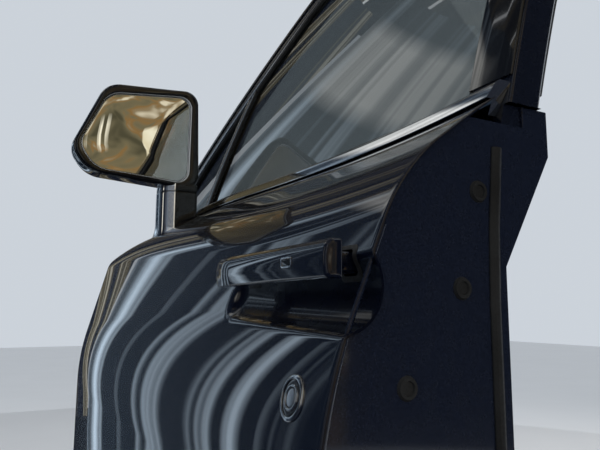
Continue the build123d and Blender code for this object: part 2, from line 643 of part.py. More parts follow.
def trim_prism(rise, start, stop):
    """The trim's own section, its cabin side moved inboard by rise."""
    cabin = [(face_y, TRIM_FOOT), (face_y + 4, -200), SLOPE_LOW, SLOPE_HIGH, (roll_y, INNER_TOP_Z + 4)]
    chain = [(INNER_Y, TRIM_FOOT)] + [(y + rise, z) for y, z in cabin]
    chain += [(INNER_TOP_Y, INNER_TOP_Z + 4), (INNER_TOP_Y, INNER_TOP_Z - 40), (INNER_Y, INNER_BREAK_Z)]
    return prism("x", chain, start, stop, TRIM_RADII)


def side_outline(x0, x1, z0, z1, y0, y1, radii):
    """Upright block with rounded corners in the side view."""
    return prism("y", [(x0, z0), (x1, z0), (x1, z1), (x0, z1)], y0, y1, radii)


trim_wall = trim_prism(SEAT, TRIM_FRONT - 10, TRIM_REAR + 10)
corner = TRIM_CORNER_R
trim = trim_prism(0, TRIM_FRONT, TRIM_REAR)
trim = trim & side_outline(TRIM_FRONT, TRIM_REAR, TRIM_FOOT - 2, 290, -20, 200, (corner, corner, 14, 14))
trim -= rod("y", GRILLE_X, face_y, GRILLE_Z, GRILLE_R + SEAT, 24)
parts["trim_panel"] = tapered(trim)
disc = rod("y", GRILLE_X, face_y + 1, GRILLE_Z, GRILLE_R, GRILLE_T)
parts["speaker_grille"] = tapered(disc)


# Veneer strip on the trim's upper slope, narrower towards the front
def slope_point(share, lift):
    """Point (y, z) on the trim's slope, at a share of its height and lifted off it."""
    dy = SLOPE_HIGH[0] - SLOPE_LOW[0]
    dz = SLOPE_HIGH[1] - SLOPE_LOW[1]
    length = math.hypot(dy, dz)
    return (SLOPE_LOW[0] + dy * share + lift * dz / length, SLOPE_LOW[1] + dz * share - lift * dy / length)


veneer_chain = [slope_point(0.2, 0), slope_point(0.2, VENEER_T), slope_point(0.84, VENEER_T), slope_point(0.84, 0)]
veneer_low = slope_point(0.2, VENEER_T)[1]
veneer_high = slope_point(0.84, 0)[1]
veneer_rear = TRIM_REAR - VENEER_BACK
veneer_side = [(VENEER_FRONT, veneer_high - 30), (veneer_rear, veneer_low), (veneer_rear, veneer_high),
               (VENEER_FRONT, veneer_high)]
veneer = prism("x", veneer_chain, VENEER_FRONT, veneer_rear)
parts["veneer_strip"] = tapered(veneer & prism("y", veneer_side, 0, 200, (9, 9, 9, 9)))

# Armrest with a cup for the fingers, its pad and the window switches
arm_rear = TRIM_REAR - ARM_BACK
arm_low = ARM_TOP - ARM_H
arm_y = face_y + ARM_OUT
arm_chain = [(face_y, arm_low - ARM_SKIRT), (face_y + 24, arm_low - 6), (arm_y, arm_low + 6), (arm_y, ARM_TOP),
             (face_y, ARM_TOP)]
cup_front = ARM_FRONT + CUP_START
cup_rear = cup_front + CUP_L
cup_y = face_y + (ARM_OUT - CUP_W) / 2 - 3
arm = prism("x", arm_chain, ARM_FRONT, arm_rear, (0, 20, 18, 8, 0))
arm -= block(cup_front, cup_rear, cup_y, cup_y + CUP_W, ARM_TOP - CUP_DEPTH, ARM_TOP + 10)
arm = arm & side_outline(ARM_FRONT, arm_rear, arm_low - ARM_SKIRT - 10, ARM_TOP + 1, 0, 200, (50, 50, 20, 30))
arm = arm - trim_wall
parts["armrest"] = tapered(arm.solids().sort_by(SortBy.VOLUME)[-1])
pad = block(cup_rear + PAD_GAP, arm_rear - 20, face_y + 2 * PAD_EDGE, arm_y - PAD_EDGE, ARM_TOP, ARM_TOP + PAD_H)
pad = fillet(pad.edges().group_by(Axis.Z)[-1], 7)
parts["armrest_pad"] = tapered(pad)
switch_front = ARM_FRONT + SWITCH_START
switch_edge = [(switch_front, face_y + 16), (switch_front + SWITCH_L, face_y + 16),
               (switch_front + SWITCH_L, arm_y - 10), (switch_front, arm_y - 10)]
switch = prism("z", switch_edge, ARM_TOP, ARM_TOP + SWITCH_T, 8)
keys_start = switch_front + (SWITCH_L - (KEYS - 1) * KEY_PITCH - KEY_L) / 2
for i in range(KEYS):
    x = keys_start + KEY_PITCH * i
    key = [(x, ARM_TOP + SWITCH_T - 1), (x + KEY_L, ARM_TOP + SWITCH_T - 1), (x + KEY_L, ARM_TOP + SWITCH_T + 4),
           (x + KEY_L * 0.4, ARM_TOP + SWITCH_T + 1.5), (x, ARM_TOP + SWITCH_T + 3)]
    switch += prism("y", key, face_y + 22, arm_y - 16)
parts["switch_panel"] = tapered(switch)

# Inner release in its dished surround, and the pull bar on two posts
half_l = BEZEL_L / 2
dish = 6.0
bezel = side_outline(BEZEL_X - half_l, BEZEL_X + half_l, BEZEL_Z - 20, BEZEL_Z + 14, face_y, face_y + BEZEL_T, 10)
bezel -= side_outline(BEZEL_X - half_l + dish, BEZEL_X + half_l - dish, BEZEL_Z - 15, BEZEL_Z + 9,
                      face_y + 3, face_y + 20, 6)
parts["release_bezel"] = tapered(bezel - trim_wall)
lever = side_outline(BEZEL_X - half_l + 2 * dish, BEZEL_X + half_l - 2 * dish, BEZEL_Z - 11, BEZEL_Z + 4,
                     face_y + 3, face_y + 3 + BEZEL_T, 5)
parts["release_lever"] = tapered(lever)

pull_low = PULL_Z - PULL_H / 2
pull_high = PULL_Z + PULL_H / 2
pull = block(PULL_FRONT, PULL_FRONT + PULL_L, face_y + PULL_OUT - PULL_T, face_y + PULL_OUT, pull_low, pull_high)
pull = fillet(pull.edges().filter_by(Axis.X), 5)
for x in (PULL_FRONT + 12, PULL_FRONT + PULL_L - 24):
    pull += block(x, x + 12, face_y - 1, face_y + PULL_OUT - PULL_T + 2, pull_low + 2, pull_high - 2)
pull = pull - trim_wall
parts["door_pull"] = tapered(pull.solids().sort_by(SortBy.VOLUME)[-1])

# Padded insert below the armrest, and the open-topped map pocket below that
map_rear = TRIM_REAR - MAP_BACK
padding = side_outline(MAP_FRONT - 10, arm_rear + 10, MAP_HIGH + 25, arm_low - ARM_SKIRT - 20,
                       face_y, face_y + 4 + PADDING_T, 30)
parts["trim_padding"] = tapered(padding - trim_wall)
tub_y = face_y + MAP_OUT
tub = block(MAP_FRONT, map_rear, face_y - 2, tub_y, MAP_LOW, MAP_HIGH)
tub = fillet(tub.edges().filter_by(Axis.X).group_by(Axis.Y)[-1].group_by(Axis.Z)[0], 24)
tub -= block(MAP_FRONT + MAP_WALL, map_rear - MAP_WALL, face_y + 8, tub_y - MAP_WALL, MAP_LOW + 6, MAP_HIGH + 10)
tub = tub - trim_wall
parts["map_pocket"] = tapered(tub.solids().sort_by(SortBy.VOLUME)[-1])


# Mirror: a stalk on the shoulder with a bright outboard face that flares at its foot, and a head
# that folds on it
above = Pos(0, 0, SEAT) * outside
stalk_plan = [(STALK_FRONT, STALK_SPLIT_Y), (STALK_REAR, STALK_SPLIT_Y), (STALK_REAR, STALK_IN_Y),
              (STALK_FRONT + 18, STALK_IN_Y)]
stalk = prism("z", stalk_plan, 190, STALK_TOP, (0, 0, 6, 10)) - above
stalk = stalk.solids().sort_by(SortBy.VOLUME)[-1]
parts["mirror_stalk"] = stalk + rod("z", FOLD_X, FOLD_Y, STALK_TOP + 8, FOLD_PIN_R, 18)


def shell_wire(z, flare):
    """Plan of the stalk's bright face at one height, its three free sides moved out by flare."""
    split_y = STALK_SPLIT_Y - SEAT
    corners = [(STALK_FRONT - flare, split_y, z), (STALK_FRONT + 6 - flare, STALK_OUT_Y + 2 - flare, z),
               (STALK_REAR - 9 + flare, STALK_OUT_Y - flare, z), (STALK_REAR + flare, split_y, z)]
    return Wire(FilletPolyline(*corners, radius=(0, 20, 22, 0), close=True).edges())


FLARE_STEPS = ((200, 1.5), (222, 0.85), (240, 0.25), (258, 0.0))
foot = Solid.make_loft([shell_wire(z, share * STALK_FLARE) for z, share in FLARE_STEPS])
column = Solid.make_loft([shell_wire(FLARE_STEPS[-1][0], 0), shell_wire(STALK_TOP, 0)])
shell = (foot + column) - above
parts["mirror_stalk_shell"] = shell.solids().sort_by(SortBy.VOLUME)[-1]

HEAD_SECTIONS = ((RIM_X, 1.0), (RIM_X - 34, 0.99), (RIM_X - 74, 0.86), (RIM_X - 100, 0.6))
head_y = sum(p[0] for p in HEAD_OUTLINE) / len(HEAD_OUTLINE)
head_z = sum(p[1] for p in HEAD_OUTLINE) / len(HEAD_OUTLINE)
wires = []
for x, size in HEAD_SECTIONS:
    pts = [(x, head_y + (y - head_y) * size, head_z + (z - head_z) * size) for y, z in HEAD_OUTLINE]
    wires.append(Wire(FilletPolyline(*pts, radius=[r * size for r in HEAD_RADII], close=True).edges()))
bowl = Solid.make_loft(wires)
bowl = fillet(bowl.faces().sort_by(Axis.X)[0].edges(), 12)
well = prism("x", GLASS_OUTLINE, RIM_X - BEZEL_DEPTH, RIM_X + 5, GLASS_RADII)
neck_bore = rod("z", FOLD_X, FOLD_Y, STALK_TOP + 10, FOLD_PIN_R + PIN_CLEARANCE, 26)
collar_room = rod("z", FOLD_X, FOLD_Y, STALK_TOP + COLLAR_H / 2 - 3, COLLAR_R + SEAT, COLLAR_H + 8)
parts["mirror_housing"] = bowl - well - neck_bore - collar_room
collar = rod("z", FOLD_X, FOLD_Y, STALK_TOP + SEAT + COLLAR_H / 2, COLLAR_R, COLLAR_H)
parts["mirror_collar"] = collar - neck_bore
lip = prism("x", HEAD_OUTLINE, RIM_X, RIM_X + RIM_T, HEAD_RADII)
lip = fillet(lip.faces().sort_by(Axis.X)[-1].edges(), RIM_T * 0.8)
parts["mirror_bezel"] = lip - prism("x", GLASS_OUTLINE, RIM_X - 2, RIM_X + 8, GLASS_RADII)


def glass_prism(t, x0, x1):
    return prism("x", shrink(GLASS_OUTLINE, t), x0, x1, [r - t for r in GLASS_RADII])


parts["mirror_backing"] = glass_prism(1.5, RIM_X - BEZEL_DEPTH, RIM_X - 5)
parts["mirror_glass"] = glass_prism(2.5, RIM_X - 5, RIM_X - 2)


os.makedirs("parts", exist_ok=True)
for name, shape in parts.items():
    solids = shape.solids()
    body = solids[0] if len(solids) == 1 else Compound(children=list(solids))
    export_step(body, "parts/" + name + ".step")
    box = body.bounding_box()
    print(name, len(solids), round(body.volume / 1000, 1), "cm3", [round(v, 1) for v in (*box.min, *box.max)])
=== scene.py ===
import math

import bmesh
import bpy
import numpy as np
from mathutils import Matrix, Vector


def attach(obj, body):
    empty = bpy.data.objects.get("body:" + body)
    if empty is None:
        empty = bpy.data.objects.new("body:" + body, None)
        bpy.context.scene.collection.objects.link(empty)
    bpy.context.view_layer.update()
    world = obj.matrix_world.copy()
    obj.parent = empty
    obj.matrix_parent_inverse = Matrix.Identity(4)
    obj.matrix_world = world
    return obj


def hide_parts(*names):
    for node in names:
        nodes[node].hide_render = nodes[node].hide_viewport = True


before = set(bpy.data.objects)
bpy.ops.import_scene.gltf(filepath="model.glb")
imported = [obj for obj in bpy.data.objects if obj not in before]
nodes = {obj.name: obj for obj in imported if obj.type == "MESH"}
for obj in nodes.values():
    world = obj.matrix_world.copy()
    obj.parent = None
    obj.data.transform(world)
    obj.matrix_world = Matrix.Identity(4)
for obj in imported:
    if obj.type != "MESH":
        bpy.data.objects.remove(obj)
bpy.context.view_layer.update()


# Camera: it stands close behind the door's rear shut line, a little outboard of the skin and
# below the belt, and looks forward along the flank to the mirror.
EYE = Vector((1.4735, -0.3333, 0.0969))
YAW, PITCH, ROLL = (math.radians(angle) for angle in (28.74, 7.88, 0.19))
scene = bpy.context.scene


def put(name, data):
    """New object in the scene."""
    made = bpy.data.objects.new(name, data)
    scene.collection.objects.link(made)
    return made


ahead = Vector((-math.cos(YAW) * math.cos(PITCH), math.sin(YAW) * math.cos(PITCH), math.sin(PITCH)))
aside = Vector((math.sin(YAW), math.cos(YAW), 0))
upward = aside.cross(ahead)
lens = bpy.data.cameras.new("camera")
lens.lens = 36.1
lens.sensor_width = 36.0
lens.clip_start = 0.02
look = Matrix((aside, upward, -ahead)).transposed() @ Matrix.Rotation(ROLL, 3, "Z")
scene.camera = put("camera", lens)
scene.camera.matrix_world = Matrix.Translation(EYE) @ look.to_4x4()
scene.view_settings.view_transform = "Standard"


# Studio: a pale floor just under the door's lower edge, in a pale room with four soft boxes.
# Cloths on stands, which only polished surfaces see, give them more to show than a pale room: the
# folded one ahead of the door gives its flank upright streaks.
FLOOR_Z = -0.523
FLOOR_HALF = 9.0
ROOM = (0.60, 0.645, 0.70)
MIDDLE = (0.6, -0.15)
WALL_FOOT = -0.52
WALL_TOP = 3.4
NEAR, FAR = 2.5, 2.9


def tint(colour):
    """Colour with its alpha. One number is a grey."""
    return (*(colour if isinstance(colour, tuple) else (colour,) * 3), 1.0)


class Maths:
    """A number in a node tree: sums on it add Math nodes."""

    def __init__(self, socket):
        self.socket = socket

    def ask(self, kind, *numbers):
        tree = self.socket.id_data
        step = tree.nodes.new("ShaderNodeMath")
        step.operation = kind
        for slot, value in zip(step.inputs, numbers):
            if isinstance(value, Maths):
                tree.links.new(value.socket, slot)
            else:
                slot.default_value = value
        return Maths(step.outputs[0])

    def __add__(self, other):
        return self.ask("ADD", self, other)

    def __mul__(self, other):
        return self.ask("MULTIPLY", self, other)

    __radd__, __rmul__ = __add__, __mul__

    def __sub__(self, other):
        return self.ask("SUBTRACT", self, other)

    def __rsub__(self, other):
        return self.ask("SUBTRACT", other, self)

    def __truediv__(self, other):
        return self.ask("DIVIDE", self, other)

    def __pow__(self, other):
        return self.ask("POWER", self, other)

    def above(self, other):
        return self.ask("GREATER_THAN", self, other)

    def folded(self, step):
        """Distance from the nearest even multiple of step."""
        return self.ask("PINGPONG", self, step)


class Tree:
    """A node tree, and the one way in which nodes are put in it."""

    tree = None

    def node(self, kind, settings=(), out=0, **sockets):
        made = self.tree.nodes.new(kind)
        for key, value in dict(settings).items():
            if key == "stops":
                ramp = made.color_ramp.elements
                while len(ramp) < len(value):
                    ramp.new(1.0)
                for element, (place, colour) in zip(ramp, value):
                    element.position, element.color = place, tint(colour)
            else:
                setattr(made, key, value)
        for socket, value in sockets.items():
            number = socket[0] == "i" and socket[1:].isdigit()
            slot = made.inputs[int(socket[1:]) if number else socket.replace("_", " ")]
            for one in value if isinstance(value, list) else [value]:
                if isinstance(one, Maths):
                    self.tree.links.new(one.socket, slot)
                else:
                    slot.default_value = one
        return made if out is None else Maths(made.outputs[out])


class Finish(Tree):
    """One finish: a material, its shader, and the object coordinates that its patterns follow."""

    def __init__(self, name, **fixed):
        self.material = bpy.data.materials.new(name)
        self.material.use_nodes = True
        self.tree = self.material.node_tree
        self.shader = self.tree.nodes["Principled BSDF"]
        for socket, value in fixed.items():
            self.shader.inputs[socket.replace("_", " ")].default_value = value
        self.place = self.node("ShaderNodeTexCoord", out="Object")
        axes = self.node("ShaderNodeSeparateXYZ", out=None, Vector=self.place)
        self.x, self.y, self.z = (Maths(socket) for socket in axes.outputs)

    def noise(self, scale, detail=2.0, stretch=(1, 1, 1), **more):
        at = self.place
        if stretch != (1, 1, 1):
            at = self.node("ShaderNodeMapping", Vector=self.place, Scale=stretch)
        return self.node("ShaderNodeTexNoise", Vector=at, Scale=scale, Detail=detail, **more)

    def ramp(self, value, *stops):
        return self.node("ShaderNodeValToRGB", {"stops": stops}, Fac=value)

    def range(self, value, low, high, to_low=0.0, to_high=1.0):
        return self.node("ShaderNodeMapRange", i0=value, i1=low, i2=high, i3=to_low, i4=to_high)

    def mix(self, share, *colours):
        first, second = (one if isinstance(one, Maths) else tint(one) for one in colours)
        return self.node("ShaderNodeMix", {"data_type": "RGBA"}, out=2, i0=share, i6=first, i7=second)

    def feed(self, socket, value):
        self.tree.links.new(value.socket, self.shader.inputs[socket])

    def colour(self, value, *stops):
        self.feed("Base Color", self.ramp(value, *stops) if stops else value)

    def gloss(self, value, *limits):
        """Roughness, from one limit to the other as the value goes from low to high."""
        self.feed("Roughness", self.range(value, *limits))

    def relief(self, height, depth):
        """Bump of a real depth, in metres."""
        self.feed("Normal", self.node("ShaderNodeBump", Height=height, Distance=depth, Strength=1.0))


class Cloth(Finish):
    """Finish that glows by itself and takes no light, for cloths that only polished faces see."""

    def __init__(self, name):
        super().__init__(name, Base_Color=tint(0.0), Roughness=1.0, Specular_IOR_Level=0.0,
                         Emission_Strength=1.0)

    def bearing(self, side=1):
        """Degrees round the middle, from straight ahead, or with side -1 from straight behind."""
        return self.node("ShaderNodeMath", {"operation": "ARCTAN2"}, i0=side * (-1 * self.y + MIDDLE[1]),
                         i1=side * (MIDDLE[0] - self.x)) * (180 / math.pi)

    def folds(self, along, scale, detail, roughness=0.5):
        return self.node("ShaderNodeTexNoise", {"noise_dimensions": "1D"}, W=along, Scale=scale, Detail=detail,
                         Roughness=roughness)

    def band(self, value, low, high, soft):
        """1 between low and high, and 0 outside them, with soft edges."""
        return self.range(value, low - soft, low + soft) * self.range(value, high + soft, high - soft)

    def glow(self, colour):
        self.feed("Emission Color", colour)

    def hang(self, name, corners):
        """One cloth, its corners given two by two."""
        cloth = bpy.data.meshes.new(name)
        cloth.from_pydata(corners, [], [(k, k + 1, k + 3, k + 2) for k in range(0, len(corners) - 2, 2)])
        cloth.materials.append(self.material)
        stand = put(name, cloth)
        for ray in ("camera", "diffuse", "transmission", "shadow"):
            setattr(stand, "visible_" + ray, False)


def bearing(degrees, reach, z):
    """Point round the middle: 0 is straight ahead of the door, and it turns outboard."""
    turn = math.radians(degrees)
    return (MIDDLE[0] - reach * math.cos(turn), MIDDLE[1] - reach * math.sin(turn), z)


def wall(start, stop, reach, low=WALL_FOOT, high=WALL_TOP):
    """Corners of a cloth that hangs round the middle, from one bearing to another."""
    return [bearing(start + (stop - start) * k / 24, reach, z) for k in range(25) for z in (low, high)]


def level(x0, x1, y0, y1, z):
    """Corners of a cloth that lies or is stretched flat."""
    return [(x, y, z) for x in (x0, x1) for y in (y0, y1)]


floor_finish = Finish("studio_floor", Roughness=0.55)
floor_finish.colour(floor_finish.noise(3.0), (0.3, 0.68), (0.7, 0.70))
ground = bpy.data.meshes.new("studio_floor")
ground.from_pydata([(x * FLOOR_HALF, y * FLOOR_HALF, FLOOR_Z) for x, y in ((-1, -1), (1, -1), (1, 1), (-1, 1))],
                   [], [(0, 1, 2, 3)])
ground.materials.append(floor_finish.material)
floor = put("studio_floor", ground)

world = bpy.data.worlds.new("room")
world.use_nodes = True
world.node_tree.nodes["Background"].inputs["Color"].default_value = tint(ROOM)
world.node_tree.nodes["Background"].inputs["Strength"].default_value = 1.0
scene.world = world

folded = Cloth("studio_curtain")
turn = folded.bearing()
hang = folded.folds(turn, 0.30, 2.5)
lit = folded.range(turn, 27.0, 33.0, 1.0, 0.10) * folded.range(folded.z, 1.0, 3.0, 1.0, 0.25)
top_band = (folded.band(folded.z, 2.15, 3.0, 0.10) * folded.band(turn, 5.0, 30.0, 3.0)
            * folded.range(hang, 0.40, 0.55, 0.45, 1.0))
pale = folded.mix(folded.range(hang, 0.46, 0.70) ** 1.3 * lit, (0.012, 0.020, 0.034), (1.25, 1.55, 1.85))
folded.glow(folded.mix(top_band, pale, (1.15, 1.16, 1.12)))
folded.hang("studio_curtain", wall(3, 62, NEAR))
folded.hang("studio_curtain_train",
            [bearing(3 + 59 * k / 24, reach, -0.518) for k in range(25) for reach in (0.7, NEAR)])

dark = Cloth("studio_dark_cloth")
dark.glow(dark.ramp(dark.noise(0.8), (0.35, (0.010, 0.013, 0.020)), (0.65, (0.022, 0.026, 0.036))))
dark.hang("studio_side_cloth", wall(62, 118, NEAR))
dark.hang("studio_near_cloth", wall(208, 250, FAR))
dark.hang("studio_floor_cloth", level(-2.6, 3.4, -2.9, 0.9, -0.521))

beams = Cloth("studio_ceiling")
boards = beams.ramp(beams.folds(beams.y, 1.7, 1.0, 0.4), (0.38, (0.010, 0.014, 0.026)),
                    (0.52, (0.030, 0.034, 0.040)), (0.60, (0.20, 0.165, 0.10)))
beams.glow(beams.mix(beams.range(beams.y.folded(0.31), 0.022, 0.012), boards, (1.3, 1.35, 1.4)))
beams.hang("studio_ceiling", level(-2.6, 3.4, -2.9, 1.4, WALL_TOP))

side = Cloth("studio_side_strip")
fade = side.band(side.bearing(), 86.5, 94.5, 2.5) * side.band(side.z, 0.1, 1.9, 0.4)
side.glow(side.mix(fade, (0.012, 0.015, 0.022), side.ramp(
    side.noise(2.0), (0.3, (1.15, 1.10, 0.98)), (0.7, (1.45, 1.38, 1.22)))))
side.hang("studio_side_strip", wall(84, 97, 2.4, -0.3, 2.3))

rear = Cloth("studio_rear_cloth")
behind = rear.bearing(-1)
pleats = (rear.range(rear.folds(behind + rear.z * 2.2, 0.62, 1.5), 0.53, 0.62)
          * rear.band(behind, 5.0, 9.5, 0.8) * rear.band(rear.z, 1.10, 1.48, 0.05))
shade = rear.range(rear.noise(1.7, 2.0, (1, 1, 0.5), Distortion=0.6), 0.36, 0.60) * 0.65
panes = (rear.band(behind, 16.8, 19.6, 0.12) * rear.band(rear.z, 0.96, 1.36, 0.03)
         + rear.band(behind, 23.9, 26.8, 0.12) * rear.band(rear.z, 0.88, 1.40, 0.03))
round_it = rear.ramp(
    rear.range(behind, -62.0, 28.0), (0.0, (0.05, 0.06, 0.08)), (0.22, (0.15, 0.18, 0.23)),
    (0.32, (0.30, 0.34, 0.40)), (0.345, (1.3, 1.2, 1.0)), (0.385, (1.3, 1.2, 1.0)), (0.41, (0.28, 0.31, 0.35)),
    (0.55, (0.12, 0.105, 0.07)), (0.73, (0.17, 0.14, 0.075)), (1.0, (0.12, 0.10, 0.06)))
brown = rear.ramp(
    rear.noise(2.6, 2.0, Distortion=1.2), (0.34, (0.085, 0.075, 0.042)), (0.46, (0.16, 0.135, 0.075)),
    (0.53, (0.20, 0.16, 0.085)), (0.58, (0.27, 0.155, 0.055)), (0.63, (0.30, 0.23, 0.13)),
    (0.69, (0.80, 0.70, 0.50)))
cream = rear.ramp(rear.noise(5.0), (0.35, (0.80, 0.68, 0.42)), (0.65, (1.05, 0.98, 0.74)))
# The rear cloth's glow turns brown straight behind the middle: light for the mirror and polished faces to
# reflect, not wear.
rear_glow = rear.mix(rear.range(behind, 0.0, 6.0), rear.mix(shade, round_it, (0.030, 0.024, 0.014)), brown)
rear.glow(rear.mix(panes, rear.mix(pleats, rear_glow, (1.15, 1.05, 0.80)), cream))
rear.hang("studio_rear_cloth", wall(118, 208, FAR))

inboard = Cloth("studio_inboard_cloth")
inboard.glow(inboard.ramp(
    inboard.folds(inboard.bearing() + inboard.z * 3.0, 0.42, 2.0), (0.38, (0.008, 0.012, 0.026)),
    (0.50, (0.018, 0.024, 0.040)), (0.57, (0.14, 0.12, 0.075)), (0.60, (0.62, 0.60, 0.52)),
    (0.615, (0.16, 0.14, 0.09)), (0.70, (0.05, 0.05, 0.045))))
inboard.hang("studio_inboard_cloth", wall(-75, 3, FAR))

low = Cloth("studio_low_light")
fade = low.band(low.x, -0.7, 0.55, 0.2) * low.band(low.y, -0.42, -0.24, 0.08)
low.glow(low.mix(fade, (0.012, 0.015, 0.022), low.ramp(
    low.noise(1.5), (0.3, (0.50, 0.56, 0.62)), (0.7, (0.66, 0.72, 0.78)))))
low.hang("studio_low_light", level(-0.9, 0.75, -0.50, -0.16, -0.515))

for name, stand_at, aim, wide, high, glow, colour in (
        ("overhead", (0.5, -0.6, 2.4), (0.5, -0.05, 0.2), 2.6, 0.9, 2.6, (1.0, 0.98, 0.95)),
        ("side", (1.2, -3.2, 1.2), (0.6, 0, 0.1), 1.4, 1.8, 1.6, (1, 1, 1)),
        ("cabin", (0.4, 2.6, 1.4), (0.6, 0, 0), 2.0, 1.4, 2.2, (1.0, 0.97, 0.93)),
        ("rear", (3.2, 0.9, 1.3), (0.8, 0, 0), 1.0, 1.4, 1.6, (1, 1, 1))):
    lamp = bpy.data.lights.new(name, "AREA")
    lamp.shape = "RECTANGLE"
    lamp.size, lamp.size_y = wide, high
    lamp.energy = glow * math.pi * wide * high
    lamp.color = colour
    box = put(name, lamp)
    box.location = stand_at
    box.rotation_euler = (Vector(aim) - Vector(stand_at)).to_track_quat("-Z", "Y").to_euler()
    box.visible_camera = False
    box.visible_glossy = False


# Hinges: two forged pairs of leaves, painted with the body, on plated pins. The pillar leaves
# bolt to the hinge pillar, and the door leaves to the door's front wall with two screws each.
MM = 0.001
MERGE = 2e-5
BEVEL_FROM = 32.0


def make(name, points, faces, angle):
    """Mesh piece from points in millimetres: doubles merged, faces outwards, shaded by angle."""
    mesh = bpy.data.meshes.new(name)
    mesh.from_pydata((np.asarray(points, float).reshape(-1, 3) * MM).tolist(), [], [list(f) for f in faces])
    form = bmesh.new()
    form.from_mesh(mesh)
    bmesh.ops.remove_doubles(form, verts=form.verts, dist=1e-6)
    bmesh.ops.recalc_face_normals(form, faces=form.faces)
    form.to_mesh(mesh)
    form.free()
    mesh.shade_smooth()
    mesh.set_sharp_from_angle(angle=math.radians(angle))
    return put(name, mesh)


def settle(piece):
    """Applies the piece's modifiers to its mesh."""
    mesh = bpy.data.meshes.new_from_object(piece.evaluated_get(bpy.context.evaluated_depsgraph_get()))
    piece.modifiers.clear()
    piece.data = mesh
    return piece


def fit(piece, finish, slot, *replaced, body="door"):
    """Gives the piece its finish, hangs it on its body, and hides the nodes that it stands for."""
    piece.data.materials.clear()
    piece.data.materials.append(finish.material)
    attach(piece, body)
    if replaced:
        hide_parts(*replaced)
    return piece


def mould(name, forms, *fitting, angle=38.0, **more):
    """Piece made of one form, or of a list of them, and fitted."""
    points, faces = [], []
    for some_points, some_faces in forms if isinstance(forms, list) else [forms]:
        faces += [[n + len(points) for n in face] for face in some_faces]
        points += [list(p) for p in some_points]
    return fit(make(name, points, faces, angle), *fitting, **more)


def keep(finish, slot, body="door", **edges):
    """Fits copies of CAD nodes, each with its edges rounded by a bevel of so many millimetres."""
    for node, width in edges.items():
        piece = put(node + "_dressed", nodes[node].data.copy())
        form = bmesh.new()
        form.from_mesh(piece.data)
        bmesh.ops.remove_doubles(form, verts=form.verts, dist=MERGE)
        bmesh.ops.dissolve_limit(form, angle_limit=math.radians(0.6), verts=form.verts, edges=form.edges)
        form.to_mesh(piece.data)
        form.free()
        for attribute in ("custom_normal", "sharp_edge", "sharp_face"):
            if attribute in piece.data.attributes:
                piece.data.attributes.remove(piece.data.attributes[attribute])
        piece.data.shade_smooth()
        bevel = piece.modifiers.new("edge", "BEVEL")
        bevel.width = width * MM
        bevel.segments = 2
        bevel.limit_method = "ANGLE"
        bevel.angle_limit = math.radians(BEVEL_FROM)
        bevel.miter_outer = "MITER_ARC"
        settle(piece).data.set_sharp_from_angle(angle=math.radians(BEVEL_FROM + 6))
        piece.modifiers.new("even", "WEIGHTED_NORMAL").keep_sharp = True
        fit(settle(piece), finish, slot, node, body=body)


class Pattern(Tree):
    """Geometry Nodes that repeat one small form over the points or lines of a mesh."""

    KINDS = {float: "NodeSocketFloat", int: "NodeSocketInt"}

    def __init__(self, name, **sizes):
        self.tree = bpy.data.node_groups.new(name, "GeometryNodeTree")
        sides = self.tree.interface
        sides.new_socket(name="Geometry", in_out="INPUT", socket_type="NodeSocketGeometry")
        for size, value in sizes.items():
            socket = sides.new_socket(name=size, in_out="INPUT", socket_type=self.KINDS[type(value)])
            socket.default_value = value
        sides.new_socket(name="Material", in_out="INPUT", socket_type="NodeSocketMaterial")
        sides.new_socket(name="Geometry", in_out="OUTPUT", socket_type="NodeSocketGeometry")
        self.given = self.tree.nodes.new("NodeGroupInput")

    def size(self, name):
        return Maths(self.given.outputs[name])

    def at(self, x=0.0, y=0.0, z=0.0):
        return self.node("ShaderNodeCombineXYZ", X=x, Y=y, Z=z)

    def cone(self, top, foot, deep, sides=48):
        return self.node("GeometryNodeMeshCone", Vertices=sides, Radius_Top=top, Radius_Bottom=foot, Depth=deep)

    def raised(self, form, rise):
        return self.node("GeometryNodeTransform", Translation=self.at(z=rise), Geometry=form)

    def cut(self, kind, **forms):
        return self.node("GeometryNodeMeshBoolean", {"operation": kind, "solver": "EXACT"}, **forms)

    def outward(self):
        """Turn that stands a form's own Z on the direction kept with each point."""
        kept = self.node("GeometryNodeInputNamedAttribute", {"data_type": "FLOAT_VECTOR"}, Name="outward")
        return self.node("FunctionNodeAlignRotationToVector", {"axis": "Z"}, Vector=kept)

    def repeat(self, form, points=None, turn=None):
        """Ends the tree with the form on each point."""
        self.end(self.node("GeometryNodeInstanceOnPoints", Points=points or self.size("Geometry"),
                           Instance=form, Rotation=turn or self.outward()))

    def end(self, geometry):
        real = self.node("GeometryNodeRealizeInstances", Geometry=geometry)
        done = self.node("GeometryNodeSetMaterial", Geometry=real, Material=self.size("Material"))
        self.tree.links.new(done.socket, self.tree.nodes.new("NodeGroupOutput").inputs["Geometry"])

    def spread(self, name, finish, points, outward, edges=(), **sizes):
        """The pattern over points, in millimetres, as one plain mesh."""
        base = bpy.data.meshes.new(name)
        base.from_pydata((np.asarray(points, float) * MM).tolist(), edges, [])
        kept = base.attributes.new("outward", "FLOAT_VECTOR", "POINT")
        kept.data.foreach_set("vector", np.ravel(np.broadcast_to(np.asarray(outward, float), (len(points), 3))))
        piece = put(name, base)
        repeat = piece.modifiers.new(name, "NODES")
        repeat.node_group = self.tree
        for item in self.tree.interface.items_tree:
            if item.in_out == "INPUT" and item.name in sizes:
                repeat[item.identifier] = sizes[item.name]
            elif item.in_out == "INPUT" and item.name == "Material":
                repeat[item.identifier] = finish.material
        settle(piece)
        form = bmesh.new()
        form.from_mesh(piece.data)
        bmesh.ops.recalc_face_normals(form, faces=form.faces)
        form.to_mesh(piece.data)
        form.free()
        piece.data.shade_smooth()
        piece.data.set_sharp_from_angle(angle=math.radians(38.0))
        return piece


